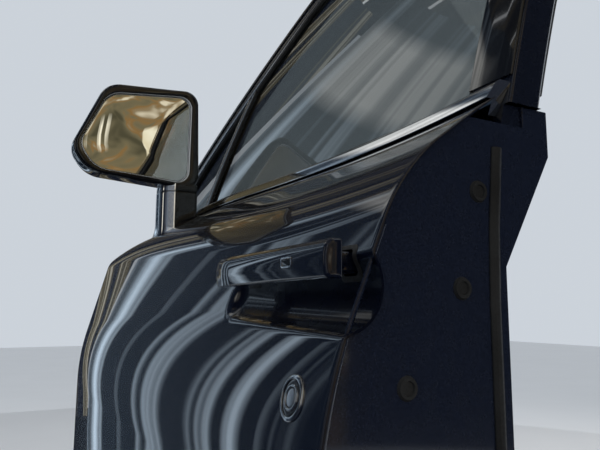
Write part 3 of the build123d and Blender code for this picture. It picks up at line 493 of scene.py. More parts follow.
primed = Finish("hinge_paint", Roughness=0.34, Coat_Weight=0.35, Coat_Roughness=0.2)
cast = primed.noise(240.0, 3.0)
primed.colour(primed.noise(30.0, 4.0), (0.3, (0.010, 0.012, 0.021)), (0.75, (0.020, 0.023, 0.036)))
primed.gloss(cast, 0.3, 0.7, 0.28, 0.5)
primed.relief(cast, 0.00012)

plated = Finish("plated_steel", Metallic=1.0)
plated.colour(plated.noise(60.0, 3.0), (0.3, (0.46, 0.45, 0.40)), (0.7, (0.60, 0.59, 0.55)))
plated.gloss(plated.noise(220.0, 2.0, (1, 1, 0.1)), 0.3, 0.7, 0.22, 0.42)

HINGE_Z = {"upper": 0.0, "lower": -370.0}
PIN_Y = -63.0
LEAF_BACK_X = 78.0
for name in HINGE_Z:
    keep(primed, "steel", "pillar_side", **{"hinge_%s_post_leaf" % name: 1.2})
    keep(primed, "steel", **{"hinge_%s_door_leaf" % name: 1.2})
    keep(plated, "pin", "pillar_side", **{"hinge_%s_pin" % name: 0.7})

screws = Pattern("hex_screws", Width=0.012, Height=0.006, Flange=0.0012)
width, height = screws.size("Width"), screws.size("Height")
hexagon = screws.raised(screws.node("GeometryNodeMeshCylinder", Vertices=6, Radius=width * 0.577, Depth=height),
                        height * 0.5)
chamfer = screws.cone(width * 0.51, width * 0.51 + height * 1.73, height)
head = screws.cut("INTERSECT", Mesh_2=[hexagon, chamfer])
flange = screws.cone(width * 0.72, width * 0.78, screws.size("Flange"), 40)
screws.repeat(screws.cut("UNION", Mesh_2=[flange, head]))
screw_at = [(LEAF_BACK_X, PIN_Y + 24, z + side * 19) for z in HINGE_Z.values() for side in (-1, 1)]
fit(screws.spread("hinge_screws", plated, screw_at, (-1, 0, 0)), plated, "steel")


# Door shell: a deep-drawn inner panel, painted with the body, whose front and rear walls carry
# the hinges and the latch and whose inboard face has the service holes. Rubber plugs close the
# assembly holes in its rear wall.
shell_paint = Finish("shell_paint", Coat_Weight=0.8, Coat_Roughness=0.06, Specular_IOR_Level=0.1)
peel = shell_paint.noise(160.0, 2.0)
shell_paint.colour(shell_paint.noise(700.0, 1.0), (0.35, (0.005, 0.007, 0.014)), (0.7, (0.010, 0.013, 0.024)))
shell_paint.gloss(peel, 0.3, 0.7, 0.16, 0.30)
shell_paint.relief(peel, 0.00005)
keep(shell_paint, "panel", inner_panel=1.5)

zinc = Finish("latch_steel", Metallic=1.0)
zinc.colour(zinc.noise(45.0, 4.0), (0.3, (0.36, 0.36, 0.37)), (0.7, (0.52, 0.52, 0.53)))
zinc.gloss(zinc.noise(300.0, 2.0, (1, 0.12, 1)), 0.3, 0.7, 0.24, 0.44)
keep(zinc, "steel", latch_plate=0.8, latch_claw=0.8)

LATCH_FACE_X = 1137.0
LATCH_Z = -60.0
screw_at = [(LATCH_FACE_X - 0.2, y, LATCH_Z + dz) for y in (-60, 0) for dz in (34, -34)]
fit(screws.spread("latch_screws", plated, screw_at, (1, 0, 0), Width=0.010, Height=0.0012, Flange=0.0006),
    plated, "steel")

rubber = Finish("black_rubber", Roughness=0.62)
pores = rubber.noise(520.0, 3.0)
rubber.colour(rubber.noise(26.0, 4.0), (0.3, 0.007), (0.75, 0.016))
rubber.gloss(pores, 0.3, 0.7, 0.48, 0.72)
rubber.relief(pores, 0.0001)

WALL_X = 1134.0
plugs = Pattern("rubber_plugs", Radius=0.009, Proud=0.0024)
radius, proud = plugs.size("Radius"), plugs.size("Proud")
plugs.repeat(plugs.cut("DIFFERENCE", Mesh_1=plugs.cone(radius * 0.84, radius, proud),
                       Mesh_2=plugs.raised(plugs.cone(radius * 0.66, radius * 0.52, proud), proud * 0.45)))
plug_at = [(WALL_X - 0.2, y, z) for y, z in ((-62, 42), (-8, 112), (12, 188), (-40, -250))]
fit(plugs.spread("rear_wall_plugs", rubber, plug_at, (1, 0, 0)), rubber, "rubber")


# Outer skin: one pressed sheet from the belt's edge over the shoulder to the lower edge, hemmed
# all round, with the recess behind the handle. Deep blue-black clearcoat, polished like a mirror.
# Its section is drawn at four stations from the front to the rear and blended between them.
DOOR_REAR = 1140.0
DOOR_LENGTH = 1130.0
PANEL_FRONT, PANEL_REAR = 12.0, 1138.0
SILL_Z = -520.0
SKIN_T = 2.0
CORNER_R = 70.0
STATIONS = (
    (1.00, (58.0, 236.0), (-42.0, 210.0), (-103.0, -10.0), (-104.0, -300.0), (-74.0, SILL_Z), 40.0),
    (0.84, (49.0, 262.0), (-46.0, 220.0), (-117.0, 0.0), (-118.0, -300.0), (-86.0, SILL_Z), 70.0),
    (0.50, (37.0, 270.0), (-58.0, 206.0), (-131.0, 14.0), (-134.0, -300.0), (-99.0, SILL_Z), 100.0),
    (0.00, (30.0, 269.0), (-66.0, 200.0), (-140.0, 25.0), (-143.0, -300.0), (-106.0, SILL_Z), 155.0),
)
STATION_X = [DOOR_REAR - DOOR_LENGTH * row[0] for row in STATIONS]
WAIST_R, SIDE_R = 430.0, 900.0
ROW_STEPS = (5, 22, 50, 66, 12, 14, 16)


def inset(points, t):
    """Corners of an open chain moved to its left by t."""
    at = np.array(points)
    sides = np.diff(at, axis=0)
    sides /= np.linalg.norm(sides, axis=1)[:, None]
    before, after = np.vstack([sides[:1], sides]), np.vstack([sides, sides[-1:]])
    share = t / (1 + (before * after).sum(axis=1))
    return at + ((before + after) @ ((0, 1), (-1, 0))) * share[:, None]


def corner_arc(before, at, after, r):
    """Start, end and middle of the arc of radius r that rounds the corner at."""
    a = (before - at) / np.linalg.norm(before - at)
    b = (after - at) / np.linalg.norm(after - at)
    half = math.acos(float(np.clip(a @ b, -1, 1))) / 2
    tangent = r / math.tan(half)
    return at + a * tangent, at + b * tangent, at + (a + b) / np.linalg.norm(a + b) * r / math.sin(half)


def arc_points(start, stop, middle, steps):
    """Points after start up to stop, the short way round the middle."""
    first = math.atan2(*(start - middle)[::-1])
    bend = (math.atan2(*(stop - middle)[::-1]) - first + math.pi) % (2 * math.pi) - math.pi
    r = np.linalg.norm(start - middle)
    return [middle + r * np.array((math.cos(first + bend * k / steps), math.sin(first + bend * k / steps)))
            for k in range(1, steps + 1)]


def rounded(chain, radii, steps):
    """Open chain with rounded corners: steps[i] points on each straight and each arc in turn."""
    corners = [np.array(p, float) for p in chain]
    out = [corners[0]]

    def straight(end, count):
        here = out[-1]
        out.extend(here + (end - here) * k / count for k in range(1, count + 1))

    for i, r in enumerate(radii, 1):
        start, stop, middle = corner_arc(corners[i - 1], corners[i], corners[i + 1], r)
        straight(start, steps[2 * i - 2])
        out += arc_points(start, stop, middle, steps[2 * i - 1])
    straight(corners[-1], steps[-1])
    return np.array(out)


def shares(knots, x):
    """Share of each of four knots at x, for one smooth cubic through them."""
    return [math.prod((x - other) / (knot - other) for other in knots if other != knot) for knot in knots]


def blend(rows, x, knots=STATION_X):
    """What is given at four knots, such as the stations' rows of (y, z) points, blended at x."""
    return sum(share * row for share, row in zip(shares(knots, x), rows))


OUTER_ROWS, INNER_ROWS = (
    np.array([rounded(inset(chain, t), (shoulder - t, WAIST_R - t, SIDE_R - t), ROW_STEPS)
              for share, *chain, shoulder in STATIONS]) for t in (0.0, SKIN_T))


def flank_points(rows, x):
    """(y, z) of every row at each x, where x has one line for each row."""
    return blend([row[:, None, :] for row in rows], x[..., None])


def skin_at(x, z):
    """Y of the skin's outer face at one x and z."""
    line = blend(OUTER_ROWS, x)
    order = np.argsort(line[:, 1])
    return float(np.interp(z, line[order, 1], line[order, 0]))


HEM = np.array((0.0, 0.35, 1.0, 2.2))
HEM_R = 1.4
columns = np.concatenate([PANEL_FRONT + HEM, np.linspace(22, 872, 98), np.linspace(875, 1132, 90),
                          PANEL_REAR - HEM[::-1]])
share_x = (columns - PANEL_FRONT) / (PANEL_REAR - PANEL_FRONT)
edge_x = np.minimum(columns - PANEL_FRONT, PANEL_REAR - columns)
rows_n = OUTER_ROWS.shape[1]
grid_x = np.tile(columns, (rows_n, 1))
for _ in range(5):
    rise = np.clip(flank_points(OUTER_ROWS, grid_x)[..., 1] - SILL_Z, 0, CORNER_R)
    cut = CORNER_R - np.sqrt(np.clip(CORNER_R**2 - (CORNER_R - rise)**2, 0, None))
    grid_x = PANEL_FRONT + cut + share_x[None, :] * (PANEL_REAR - PANEL_FRONT - 2 * cut)
outer, inner = flank_points(OUTER_ROWS, grid_x), flank_points(INNER_ROWS, grid_x)
lengths = np.concatenate([np.zeros((1, len(columns))),
                          np.cumsum(np.linalg.norm(np.diff(outer, axis=0), axis=2), axis=0)])
edge_row = np.minimum(lengths, lengths[-1][None, :] - lengths)


def hem_drop(distance):
    """How far the hem's rounded edge lies under the face at a distance from the sheet's edge."""
    return HEM_R - np.sqrt(HEM_R**2 - (HEM_R - np.clip(distance, 0, HEM_R))**2)


drop = np.maximum(hem_drop(edge_x)[None, :], hem_drop(edge_row)) / SKIN_T
face = outer + (inner - outer) * drop[..., None]

POCKET_R, POCKET_NOSE_R = 33.0, 28.0
POCKET_Y, POCKET_Z = -118.0, 112.5
POCKET_RISE = 1.5
POCKET_END = 926.0
POCKET_LIP = 4.0


def pressed(x, yz, wider=0.0):
    """Y of the sheet where the recess is pressed in: the recess and the flank join in a soft lip."""
    y0, z = yz[..., 0], yz[..., 1]
    share = np.clip((x - POCKET_END) / (DOOR_REAR + 20 - POCKET_END), 0, 1)
    r = POCKET_NOSE_R + (POCKET_R - POCKET_NOSE_R) * share + wider
    aside_2 = (z - POCKET_Z - POCKET_RISE * (1 - share))**2 + np.minimum(x - POCKET_END, 0)**2
    low, high = y0 - 4.0, y0 + 60.0
    for _ in range(34):
        y = (low + high) / 2
        recess = r - np.sqrt((y - POCKET_Y)**2 + aside_2)
        soft = np.clip(POCKET_LIP - np.abs(y0 - y - recess), 0, None)
        outside = np.maximum(y0 - y, recess) + soft**2 / (4 * POCKET_LIP) > 0
        low, high = np.where(outside, y, low), np.where(outside, high, y)
    near = (x > POCKET_END - r - 20) & (np.abs(z - POCKET_Z) < r + 20)
    return np.where(near, (low + high) / 2, y0)


front_grid, back_grid = (np.stack([grid_x, pressed(grid_x, yz, wider), yz[..., 1]], axis=-1)
                         for yz, wider in ((face, 0.0), (inner, SKIN_T)))


def shell(front, back, solid=None):
    """Closed sheet between two grids of points, left open through the cells that aren't solid."""
    n, m = front.shape[:2]
    if solid is None:
        solid = np.ones((n - 1, m - 1), bool)
    half = n * m
    faces = []
    for i, j in np.argwhere(solid).tolist():
        a, b, c, d = i * m + j, i * m + j + 1, (i + 1) * m + j + 1, (i + 1) * m + j
        faces += [(a, b, c, d), (a + half, d + half, c + half, b + half)]
        for u, v, p, q in ((i - 1, j, a, b), (i + 1, j, c, d), (i, j - 1, d, a), (i, j + 1, b, c)):
            if not (0 <= u < n - 1 and 0 <= v < m - 1) or not solid[u, v]:
                faces.append((p, p + half, q + half, q))
    return np.concatenate([front.reshape(-1, 3), back.reshape(-1, 3)]), faces


HANDLE_Z = 130.0
PIVOT_X = 940.0
REAR_FOOT_X = 1104.0
FOOT_SLOT = 11.0
LOCK = (1089.0, 34.4)
LOCK_HOLE_R = 10.0
cell_x = (grid_x[:-1, :-1] + grid_x[1:, 1:]) / 2
cell_z = (front_grid[:-1, :-1, 2] + front_grid[1:, 1:, 2]) / 2
solid = np.hypot(cell_x - LOCK[0], cell_z - LOCK[1]) >= LOCK_HOLE_R
for x in (PIVOT_X, REAR_FOOT_X):
    solid &= (np.abs(cell_x - x) >= FOOT_SLOT) | (np.abs(cell_z - HANDLE_Z) >= FOOT_SLOT)

paint = Finish("deep_blue_black_paint", Coat_Weight=1.0, Coat_Roughness=0.012, Coat_IOR=1.62,
               Specular_IOR_Level=0.05)
flakes = paint.noise(1400.0, 1.0)
drift = paint.noise(2.2, 2.0)
deep = paint.ramp(flakes, (0.42, (0.0014, 0.0024, 0.0070)), (0.75, (0.0040, 0.0062, 0.0150)))
paint.colour(paint.mix(paint.range(drift, 0.35, 0.65, 0.0, 0.35), deep, (0.0030, 0.0046, 0.0110)))
paint.gloss(flakes, 0.35, 0.7, 0.24, 0.34)
paint.feed("Coat Weight", paint.range(drift, 0.3, 0.7, 0.97, 1.0))
# Painted shade: the recess cells take the same paint drawn darker and under a thinner clearcoat, to darken the
# recess and dim its reflections.
recess_shade = Finish("recess_painted_shade", Coat_Weight=0.35, Coat_Roughness=0.05, Specular_IOR_Level=0.05)
recess_shade.colour(recess_shade.noise(1400.0, 1.0), (0.42, (0.0010, 0.0016, 0.0050)), (0.75, (0.0028, 0.0042, 0.010)))
recess_shade.gloss(recess_shade.noise(60.0), 0.35, 0.7, 0.24, 0.34)

skin = mould("outer_skin_sheet", shell(front_grid, back_grid, solid), paint, "paint", "outer_skin",
             "handle_recess", angle=50.0)
# Cells pressed in more than 3 mm behind the handle get the painted-shade paint of the recess.
skin.data.materials.append(recess_shade.material)
for polygon in skin.data.polygons:
    x, y, z = polygon.center / MM
    if x > POCKET_END - 30 and POCKET_Z - 36 < z < POCKET_Z + 40 and y - skin_at(x, z) > 3.0:
        polygon.material_index = 1


# Rear wall: a bead of paint-covered sealer along the skin's hem, and a rubber strip inboard of
# the latch that closes the gap to the body.
def loop(corners, radii, steps=4, straight=1):
    """Closed outline with rounded corners. One radius serves all the corners."""
    at = [np.array(p, float) for p in corners]
    count = len(at)
    arcs = []
    for i, r in enumerate(radii if isinstance(radii, tuple) else (radii,) * count):
        start, stop, middle = corner_arc(at[i - 1], at[i], at[(i + 1) % count], max(r, 0.02))
        arcs.append([start] + arc_points(start, stop, middle, steps))
    out = []
    for i, arc in enumerate(arcs):
        out += arc
        after = arcs[(i + 1) % count][0]
        out += [arc[-1] + (after - arc[-1]) * k / straight for k in range(1, straight)]
    return np.array(out)


def sweep(loops, round_again=False):
    """Closed skin over a row of equal loops, capped at both ends unless it comes round again."""
    loops = np.asarray(loops)
    n, m = loops.shape[:2]
    faces = []
    for i in range(n if round_again else n - 1):
        a, b = i * m, (i + 1) % n * m
        faces += [(a + k, a + (k + 1) % m, b + (k + 1) % m, b + k) for k in range(m)]
    if not round_again:
        faces += [tuple(range(m)), tuple(range((n - 1) * m, n * m))]
    return loops.reshape(-1, 3), faces


BEAD = ((-0.3, 0.2), (0.9, 0.4), (1.5, 1.6), (1.3, 3.2), (0.5, 4.6), (-0.3, 5.2))
hem_line = flank_points(INNER_ROWS, np.full((rows_n, 1), PANEL_REAR - 4.5))[30:rows_n - 18, 0]
mould("hem_sealer", sweep([[(WALL_X + out, y + dy, z) for out, dy in BEAD] for y, z in hem_line]),
      shell_paint, "panel")
STRIP = ((-0.3, 20), (1.2, 20), (3.4, 23), (3.4, 27), (1.2, 31), (-0.3, 31))
strip_at = loop(STRIP, (0.3, 0.8, 1.2, 1.2, 0.8, 0.3), 3)
STRIP_BENDS = ((-455, 0), (-300, 0), (-150, 0), (0, 0), (100, 0), (160, 2), (226, 8))
strip_rings = [[(WALL_X + out, y + inboard_y, z) for out, y in strip_at] for z, inboard_y in STRIP_BENDS]
mould("rear_wall_strip", sweep(strip_rings), rubber, "rubber")


# Window frame: a rolled steel channel up the front slope, over the top and down the rear, on two
# legs inside the door. It leans in as the side glass does, on one barrel.
GLASS_Y, GLASS_Z = 58.0, 280.0
GLASS_R = 2400.0
LEAN = math.radians(14.6)
BARREL_Y = GLASS_Y + GLASS_R * math.cos(LEAN)
BARREL_Z = GLASS_Z - GLASS_R * math.sin(LEAN)
TAPER = math.tan(math.radians(1.0))
FRAME_TOP, FRAME_FOOT = 750.0, 285.0
FRAME_SLOPE = math.radians(36.3)
FRAME_W = 52.0
TRAY_TOP = 266.3


def on_barrel(xz, out):
    """Points of a side view put on the side glass's barrel, moved outboard by out."""
    x, z = xz[..., 0], xz[..., 1]
    y = BARREL_Y - np.sqrt((GLASS_R + out)**2 - (z - BARREL_Z)**2) + (DOOR_REAR - x) * TAPER
    return np.stack([x, y, z], axis=-1)


def frame_path(width, foot=TRAY_TOP):
    """Side view of the frame's outer edge moved inwards by width, from one foot to the other."""
    drop_z = width / math.cos(FRAME_SLOPE)
    rise_x = math.tan(FRAME_SLOPE)
    top = FRAME_TOP - width
    front, rear = PANEL_FRONT + width, PANEL_REAR - width
    bend_z = FRAME_FOOT + width * rise_x - drop_z
    corners = [(front, foot), (front, bend_z), (PANEL_FRONT + (top + drop_z - FRAME_FOOT) / rise_x, top),
               (rear, top), (rear, foot)]
    foot_r = min(8.0, max(1.0, (bend_z - foot) * 0.3))
    return rounded(corners, (foot_r, 500 - width, max(40 - 0.4 * width, 8)), (3, 3, 26, 26, 26, 8, 24))


def follow_frame(section, **more):
    """Sweeps a section, given as (width inwards, outboard) points, along the frame."""
    return sweep(np.stack([on_barrel(frame_path(w, **more), out) for w, out in section], axis=1))


def below(node, height):
    """The part of a CAD node under a height, closed again at the cut."""
    form = bmesh.new()
    form.from_mesh(nodes[node].data)
    bmesh.ops.remove_doubles(form, verts=form.verts, dist=MERGE)
    cut_edges = bmesh.ops.bisect_plane(form, geom=form.verts[:] + form.edges[:] + form.faces[:],
                                       plane_co=(0, 0, height * MM), plane_no=(0, 0, 1),
                                       clear_outer=True)["geom_cut"]
    bmesh.ops.holes_fill(form, edges=[e for e in cut_edges if isinstance(e, bmesh.types.BMEdge)])
    form.verts.index_update()
    points = [[c / MM for c in v.co] for v in form.verts]
    faces = [[v.index for v in f.verts] for f in form.faces]
    form.free()
    return points, faces


frame_paint = Finish("frame_paint", Coat_Weight=0.95, Coat_Roughness=0.03, Specular_IOR_Level=0.1)
frame_paint.colour(frame_paint.noise(900.0, 1.0), (0.4, (0.003, 0.0042, 0.009)), (0.75, (0.008, 0.010, 0.018)))
frame_paint.gloss(frame_paint.noise(90.0), 0.3, 0.7, 0.20, 0.32)
channel = loop([(0.3, -29.7), (0.3, 7), (49, 7), (49, 1.2), (44, 1.2), (44, -5.6), (51.7, -5.6), (51.7, -29.7)],
               (5, 3, 2.5, 0.6, 0.5, 0.5, 2, 4))
mould("window_frame_channel", [follow_frame(channel), below("window_frame", TRAY_TOP + 0.2)], frame_paint,
      "frame", "window_frame")

run_lip = loop([(46, 0.6), (50, 6.4), (53.6, 5.6), (56.5, 0.5), (50, 0.35)], (0.4, 1.5, 1.2, 0.3, 0.3), 3)
run_back = loop([(46, -4.9), (50, -5.0), (56, -5.1), (53.6, -9.0), (47, -9.4)], (0.3, 0.3, 0.3, 1.5, 1.5), 3)
mould("glass_run_lips", [follow_frame(run_lip), follow_frame(run_back)], rubber, "rubber")

gloss_black = Finish("gloss_black", Roughness=0.06, Coat_Weight=0.6, Coat_Roughness=0.02)
wipe = gloss_black.noise(14.0, 3.0)
gloss_black.colour(wipe, (0.3, 0.0035), (0.7, (0.006, 0.006, 0.0075)))
gloss_black.gloss(wipe, 0.3, 0.7, 0.045, 0.11)


def ribbon(x0, x1, y0, y1, r0, r1, steps=4, straight=1):
    """Outline of a flat strip that stands from y0 to y1, with a radius of its own at each."""
    return loop([(x0, y0), (x0, y1), (x1, y1), (x1, y0)], (r0, r1, r1, r0), steps, straight)


EDGE_FOOT = 294.2
EDGE_END_X = 1084.0
edge_lines = []
for w, out in ribbon(4.2, 15.8, 7.0, 9.3, 0.3, 1.3):
    line = frame_path(w, foot=EDGE_FOOT)
    line[:, 0] = np.minimum(line[:, 0], EDGE_END_X)
    edge_lines.append((line, out))
until = min(int(np.argmax(line[:, 0] >= EDGE_END_X)) + 1 for line, _ in edge_lines)
mould("frame_edge_strip", sweep(np.stack([on_barrel(line[:until], out) for line, out in edge_lines], axis=1)),
      gloss_black, "gloss_black", "frame_trim")

COVER_X = (1087.0, 1137.0)
COVER_Z = (292.0, 726.0)
cover = ribbon(*COVER_X, 7.0, 9.4, 0.3, 1.6, straight=3)
cover_rings = [[on_barrel(np.array([x, z]), out) for x, out in cover] for z in np.linspace(*COVER_Z, 40)]
mould("rear_upright_cover", sweep(cover_rings), gloss_black, "gloss_black", "pillar_cover")


# Side glass: a curved door pane and a fixed quarter light, 4.5 mm tempered glass with a light grey
# tint, parted by a black bar that leans rearward and carries one thin bright bead.
glass = Finish("tinted_glass", Roughness=0.0, IOR=1.5, Transmission_Weight=1.0)
glass.colour(glass.noise(3.5), (0.3, (0.095, 0.11, 0.11)), (0.7, (0.11, 0.125, 0.125)))

GLASS_T = 4.5
DIVIDER_X = 352.0
DIVIDER_LEAN = math.radians(14.7)
PANE_EDGE = 5.0 / math.cos(DIVIDER_LEAN)
PANE_IN = 44.0
GLASS_FOOT = 230.0
edge_path = frame_path(PANE_IN, foot=GLASS_FOOT)
top_z = edge_path[:, 1].max()
at_top = np.flatnonzero(edge_path[:, 1] >= top_z - 1e-6)
front_edge, rear_edge = edge_path[:at_top[0] + 1], edge_path[at_top[-1]:][::-1]


def divider_x(z):
    return DIVIDER_X + (z - GLASS_Z) * math.tan(DIVIDER_LEAN)


def front_x(z):
    return np.interp(z, front_edge[:, 1], front_edge[:, 0])


def rear_x(z):
    return np.interp(z, rear_edge[:, 1], rear_edge[:, 0])


def pane(name, heights, left, right, count, node):
    side = np.array([[(left(z) + (right(z) - left(z)) * f, z) for f in np.linspace(0, 1, count)]
                     for z in heights])
    mould(name, shell(on_barrel(side, -0.05), on_barrel(side, -GLASS_T)), glass, "glass", node, angle=30.0)


tip = next(z for z in np.arange(400, 600, 0.25) if front_x(z) > divider_x(z) - PANE_EDGE - 0.5)
pane("door_pane", GLASS_FOOT + (top_z - GLASS_FOOT) * np.sin(np.linspace(0, math.pi / 2, 70)),
     lambda z: max(divider_x(z) + PANE_EDGE, front_x(z)), lambda z: max(rear_x(z), front_x(z) + 1), 60,
     "door_glass")
pane("quarter_pane", np.linspace(GLASS_FOOT, tip, 50), front_x, lambda z: divider_x(z) - PANE_EDGE, 30,
     "quarter_glass")

opening = frame_path(FRAME_W + 0.3, foot=GLASS_FOOT)[:60]


def leaning_bar(section):
    """Sweeps a section along the leaning bar, up to the frame's inner edge."""
    lines = []
    for offset, out in section:
        beside = offset / math.cos(DIVIDER_LEAN)
        top = next(z for z in np.arange(380, 620, 0.25)
                   if np.interp(z, opening[:, 1], opening[:, 0]) > divider_x(z) + beside)
        z = GLASS_FOOT + (top - GLASS_FOOT) * np.linspace(0, 1, 40)
        lines.append(on_barrel(np.stack([divider_x(z) + beside, z], axis=-1), out))
    return sweep(np.stack(lines, axis=1))


half_bar = [(9, 0.4), (9, -5), (11, -5), (11, -18)]
bar_section = [(-11, 0.4), (-11, 7), (11, 7), (11, 0.4), *half_bar, *((-x, y) for x, y in half_bar[::-1])]
bar_radii = (0.3, 2.5, 2.5, 0.3, 0.2, 0.2, 0.3, 3, 3, 0.3, 0.2, 0.2)
mould("divider_bar_moulded", leaning_bar(loop(bar_section, bar_radii)), gloss_black, "gloss_black",
      "divider_bar")

bright = Finish("polished_metal", Metallic=1.0, Roughness=0.07)
bright.colour(bright.noise(9.0), (0.3, (0.62, 0.63, 0.65)), (0.7, (0.72, 0.73, 0.75)))
bright.gloss(bright.noise(240.0, 3.0, (0.08, 1, 1)), 0.3, 0.7, 0.05, 0.12)
mould("divider_bead", leaning_bar(ribbon(-8.6, -5.8, 6.8, 7.9, 0.2, 0.7)), bright, "bright")


# Belt: a polished strip hooked over the skin's upper edge, in two lengths either side of the
# mirror's stalk, the rubber lips that wipe the glass, and the ring that seals on the body.
STRIP_H = 16.0
STRIP_HOOK = 12.0
END_RISE, END_RUN = 38.0, 17.0


def strip(name, x0, x1, count, node, sloped=False):
    """One length of the strip. Its rear end is sloped where it meets the shut line."""
    loops = []
    for x in np.linspace(x0, x1, count):
        y, z = blend(OUTER_ROWS, x)[0]
        back, lip = (on_barrel(np.array([x, h]), 7.0)[1] - 0.3 for h in (z - STRIP_HOOK, z + STRIP_H))
        hook = min(y + 6, back - 3)
        ring = loop([(y - 1, z + 0.5), (y + 4, z + STRIP_H - 4), (y + 9, z + STRIP_H), (lip, z + STRIP_H),
                     (back, z - STRIP_HOOK), (hook, z - STRIP_HOOK), (hook, z + 0.5)],
                    (0.6, 3.2, 2.6, 1.0, 0.4, 0.4, 0.3), 5)
        ends = np.full(len(ring), x1)
        if sloped:
            rear_z = blend(OUTER_ROWS, PANEL_REAR - 4)[0][1]
            slope_x = PANEL_REAR - 16 + (ring[:, 1] - (rear_z - 18)) * END_RUN / END_RISE
            ends = np.minimum(slope_x, PANEL_REAR - 2)
        loops.append(np.column_stack([x0 + (x - x0) * (ends - x0) / (x1 - x0), ring]))
    mould(name, sweep(loops), bright, "bright", node)


strip("belt_strip_rear", 370.0, 1136.0, 60, "belt_moulding", sloped=True)
strip("belt_strip_front", 200.0, 303.0, 16, "belt_moulding_front")
keep(rubber, "rubber", outer_belt_seal=1.2, outer_belt_seal_front=1.2, inner_belt_seal=0.6)
bulb = loop([(8.5, -30.2), (21.5, -30.2), (20.5, -41.0), (9.5, -41.0)], (0.5, 0.5, 5.2, 5.2), 6)
mould("door_seal_bulb", follow_frame(bulb, foot=284.0), rubber, "rubber", "door_seal")


# Outer handle: a pull bar in body colour whose nose curves in to the recess, on two feet that
# pass through rubber gaskets in the skin, with a touch pad in a bright rim near its rear end. The
# rear foot is curved about the pivot, so that it slides through its gasket.
HANDLE_FRONT = 924.0
HANDLE_FACE, HANDLE_BACK = -131.0, -116.0
HANDLE_LOW, HANDLE_HIGH = 116.5, 143.5
TIP_DEPTH = 9.0
NOSE_L = 36.0
END_R = 3.0
GRIP_HALF = (7.5, 13.5)
plan = rounded([(HANDLE_FRONT, HANDLE_BACK), (HANDLE_FRONT, HANDLE_BACK - TIP_DEPTH),
                (HANDLE_FRONT + NOSE_L, HANDLE_FACE), (PANEL_REAR, HANDLE_FACE)], (7.5, 120), (2, 18, 8, 14, 4))
under, over = (rounded([(HANDLE_FRONT, HANDLE_Z), (HANDLE_FRONT, z), (PANEL_REAR, z)], (r,), (4, 18, 4))[4:]
               for z, r in ((HANDLE_LOW, 10), (HANDLE_HIGH, 12)))
stations = np.concatenate([HANDLE_FRONT + 56 * np.linspace(0, 1, 54)**2.4, np.linspace(986, 1134.5, 24),
                           PANEL_REAR - END_R * (1 - np.sin(np.linspace(0, math.pi / 2, 7)))])
grip = []
for x in stations:
    front, low_z, high_z = (float(np.interp(x, line[:, 0], line[:, 1])) for line in (plan[2:], under, over))
    deep = (HANDLE_BACK - front) / (HANDLE_BACK - HANDLE_FACE)
    tall = (high_z - low_z) / (HANDLE_HIGH - HANDLE_LOW)
    k = min(deep, tall)
    middle = (low_z + high_z) / 2
    edge = 0.5 + 1.5 * min(1.0, max(0.0, (x - HANDLE_FRONT - 12) / 110))
    ring = loop([(HANDLE_BACK, low_z), (HANDLE_BACK, high_z), (front + 6.5 * deep, high_z),
                 (front + 1.5 * deep, high_z - 4 * tall), (front, middle + 3 * tall), (front, middle - 4 * tall),
                 (front + (1.7 - edge * 0.2) * deep, low_z + edge * tall), (front + (1.7 + edge) * deep, low_z)],
                (1.2 * k, 1.5 * k, 4.5 * k, 9 * k, 24 * k, 24 * k, 0.35 * edge * k, 0.3 * edge * k), 5, 2)
    lap = max(END_R - (PANEL_REAR - x), 0.0)
    centre = np.array([(HANDLE_BACK + front) / 2, middle])
    ring = centre + (ring - centre) * (1 - (END_R - math.sqrt(END_R**2 - lap**2)) / np.array(GRIP_HALF))
    grip.append([(x, y, z) for y, z in ring])


def oblong(x0, x1, y0, y1, r, steps=5, straight=1):
    return loop([(x0, y0), (x1, y0), (x1, y1), (x0, y1)], r, steps, straight)


def bar(x0, x1, y0, y1, z0, z1, r):
    """Block carried along y, with its long edges rounded and its ends broken."""
    return sweep([[(x, y, z) for x, z in oblong(x0 + a, x1 - a, z0 + a, z1 - a, r)]
                  for y, a in ((y0, 0.6), (y0 + 0.6, 0), (y1 - 0.6, 0), (y1, 0.6))])


PIVOT_Y = -70.0
FOOT_END = -62.0
FOOT_LOW, FOOT_HIGH = HANDLE_Z - 8.0, HANDLE_Z + 8.0
rear_foot = []
for y in np.linspace(HANDLE_BACK - 2, FOOT_END, 12):
    x = PIVOT_X + math.sqrt((REAR_FOOT_X - PIVOT_X)**2 - (y - PIVOT_Y)**2)
    rear_foot.append([(u, y, v) for u, v in oblong(x - 7, x + 7, FOOT_LOW, FOOT_HIGH, 3.0)])
front_foot = bar(PIVOT_X - 5, PIVOT_X + 5, HANDLE_BACK - 2, FOOT_END, FOOT_LOW, FOOT_HIGH, 3.0)
mould("handle_bar", [sweep(grip), front_foot, sweep(rear_foot)], paint, "paint", "handle_grip",
      body="outer_handle")

SENSOR_X = 1084.0
PAD_HALF = np.array((8.25, 3.75))
PAD_IN = 1.15
half_w, half_h = PAD_HALF
pad_frame = oblong(-half_w, half_w, -half_h, half_h, 1.4)
rim = [[(SENSOR_X + u, HANDLE_FACE + out, HANDLE_Z + v) for u, v in pad_frame * (1 - inward / PAD_HALF)]
       for inward, out in ((0.0, 0.0), (0.0, -0.45), (0.35, -0.75), (0.95, -0.75), (1.25, -0.4), (1.25, 0.0))]
half_w, half_h = PAD_HALF - PAD_IN
mould("touch_pad_rim", sweep(rim, True), bright, "bright", "handle_sensor", body="outer_handle")
mould("touch_pad", bar(SENSOR_X - half_w, SENSOR_X + half_w, HANDLE_FACE - 0.3, HANDLE_FACE + 1.0,
                       HANDLE_Z - half_h, HANDLE_Z + half_h, 0.9),
      gloss_black, "gloss_black", body="outer_handle")


def on_skin(points, lift):
    """Points of a side view put on the skin or in the recess, and lifted off it."""
    grid = np.array([[u, skin_at(u, v), v] for u, v in points])
    return [(u, y - lift, v) for (u, v), y in zip(points, pressed(grid[:, 0], grid[:, 1:]).tolist())]


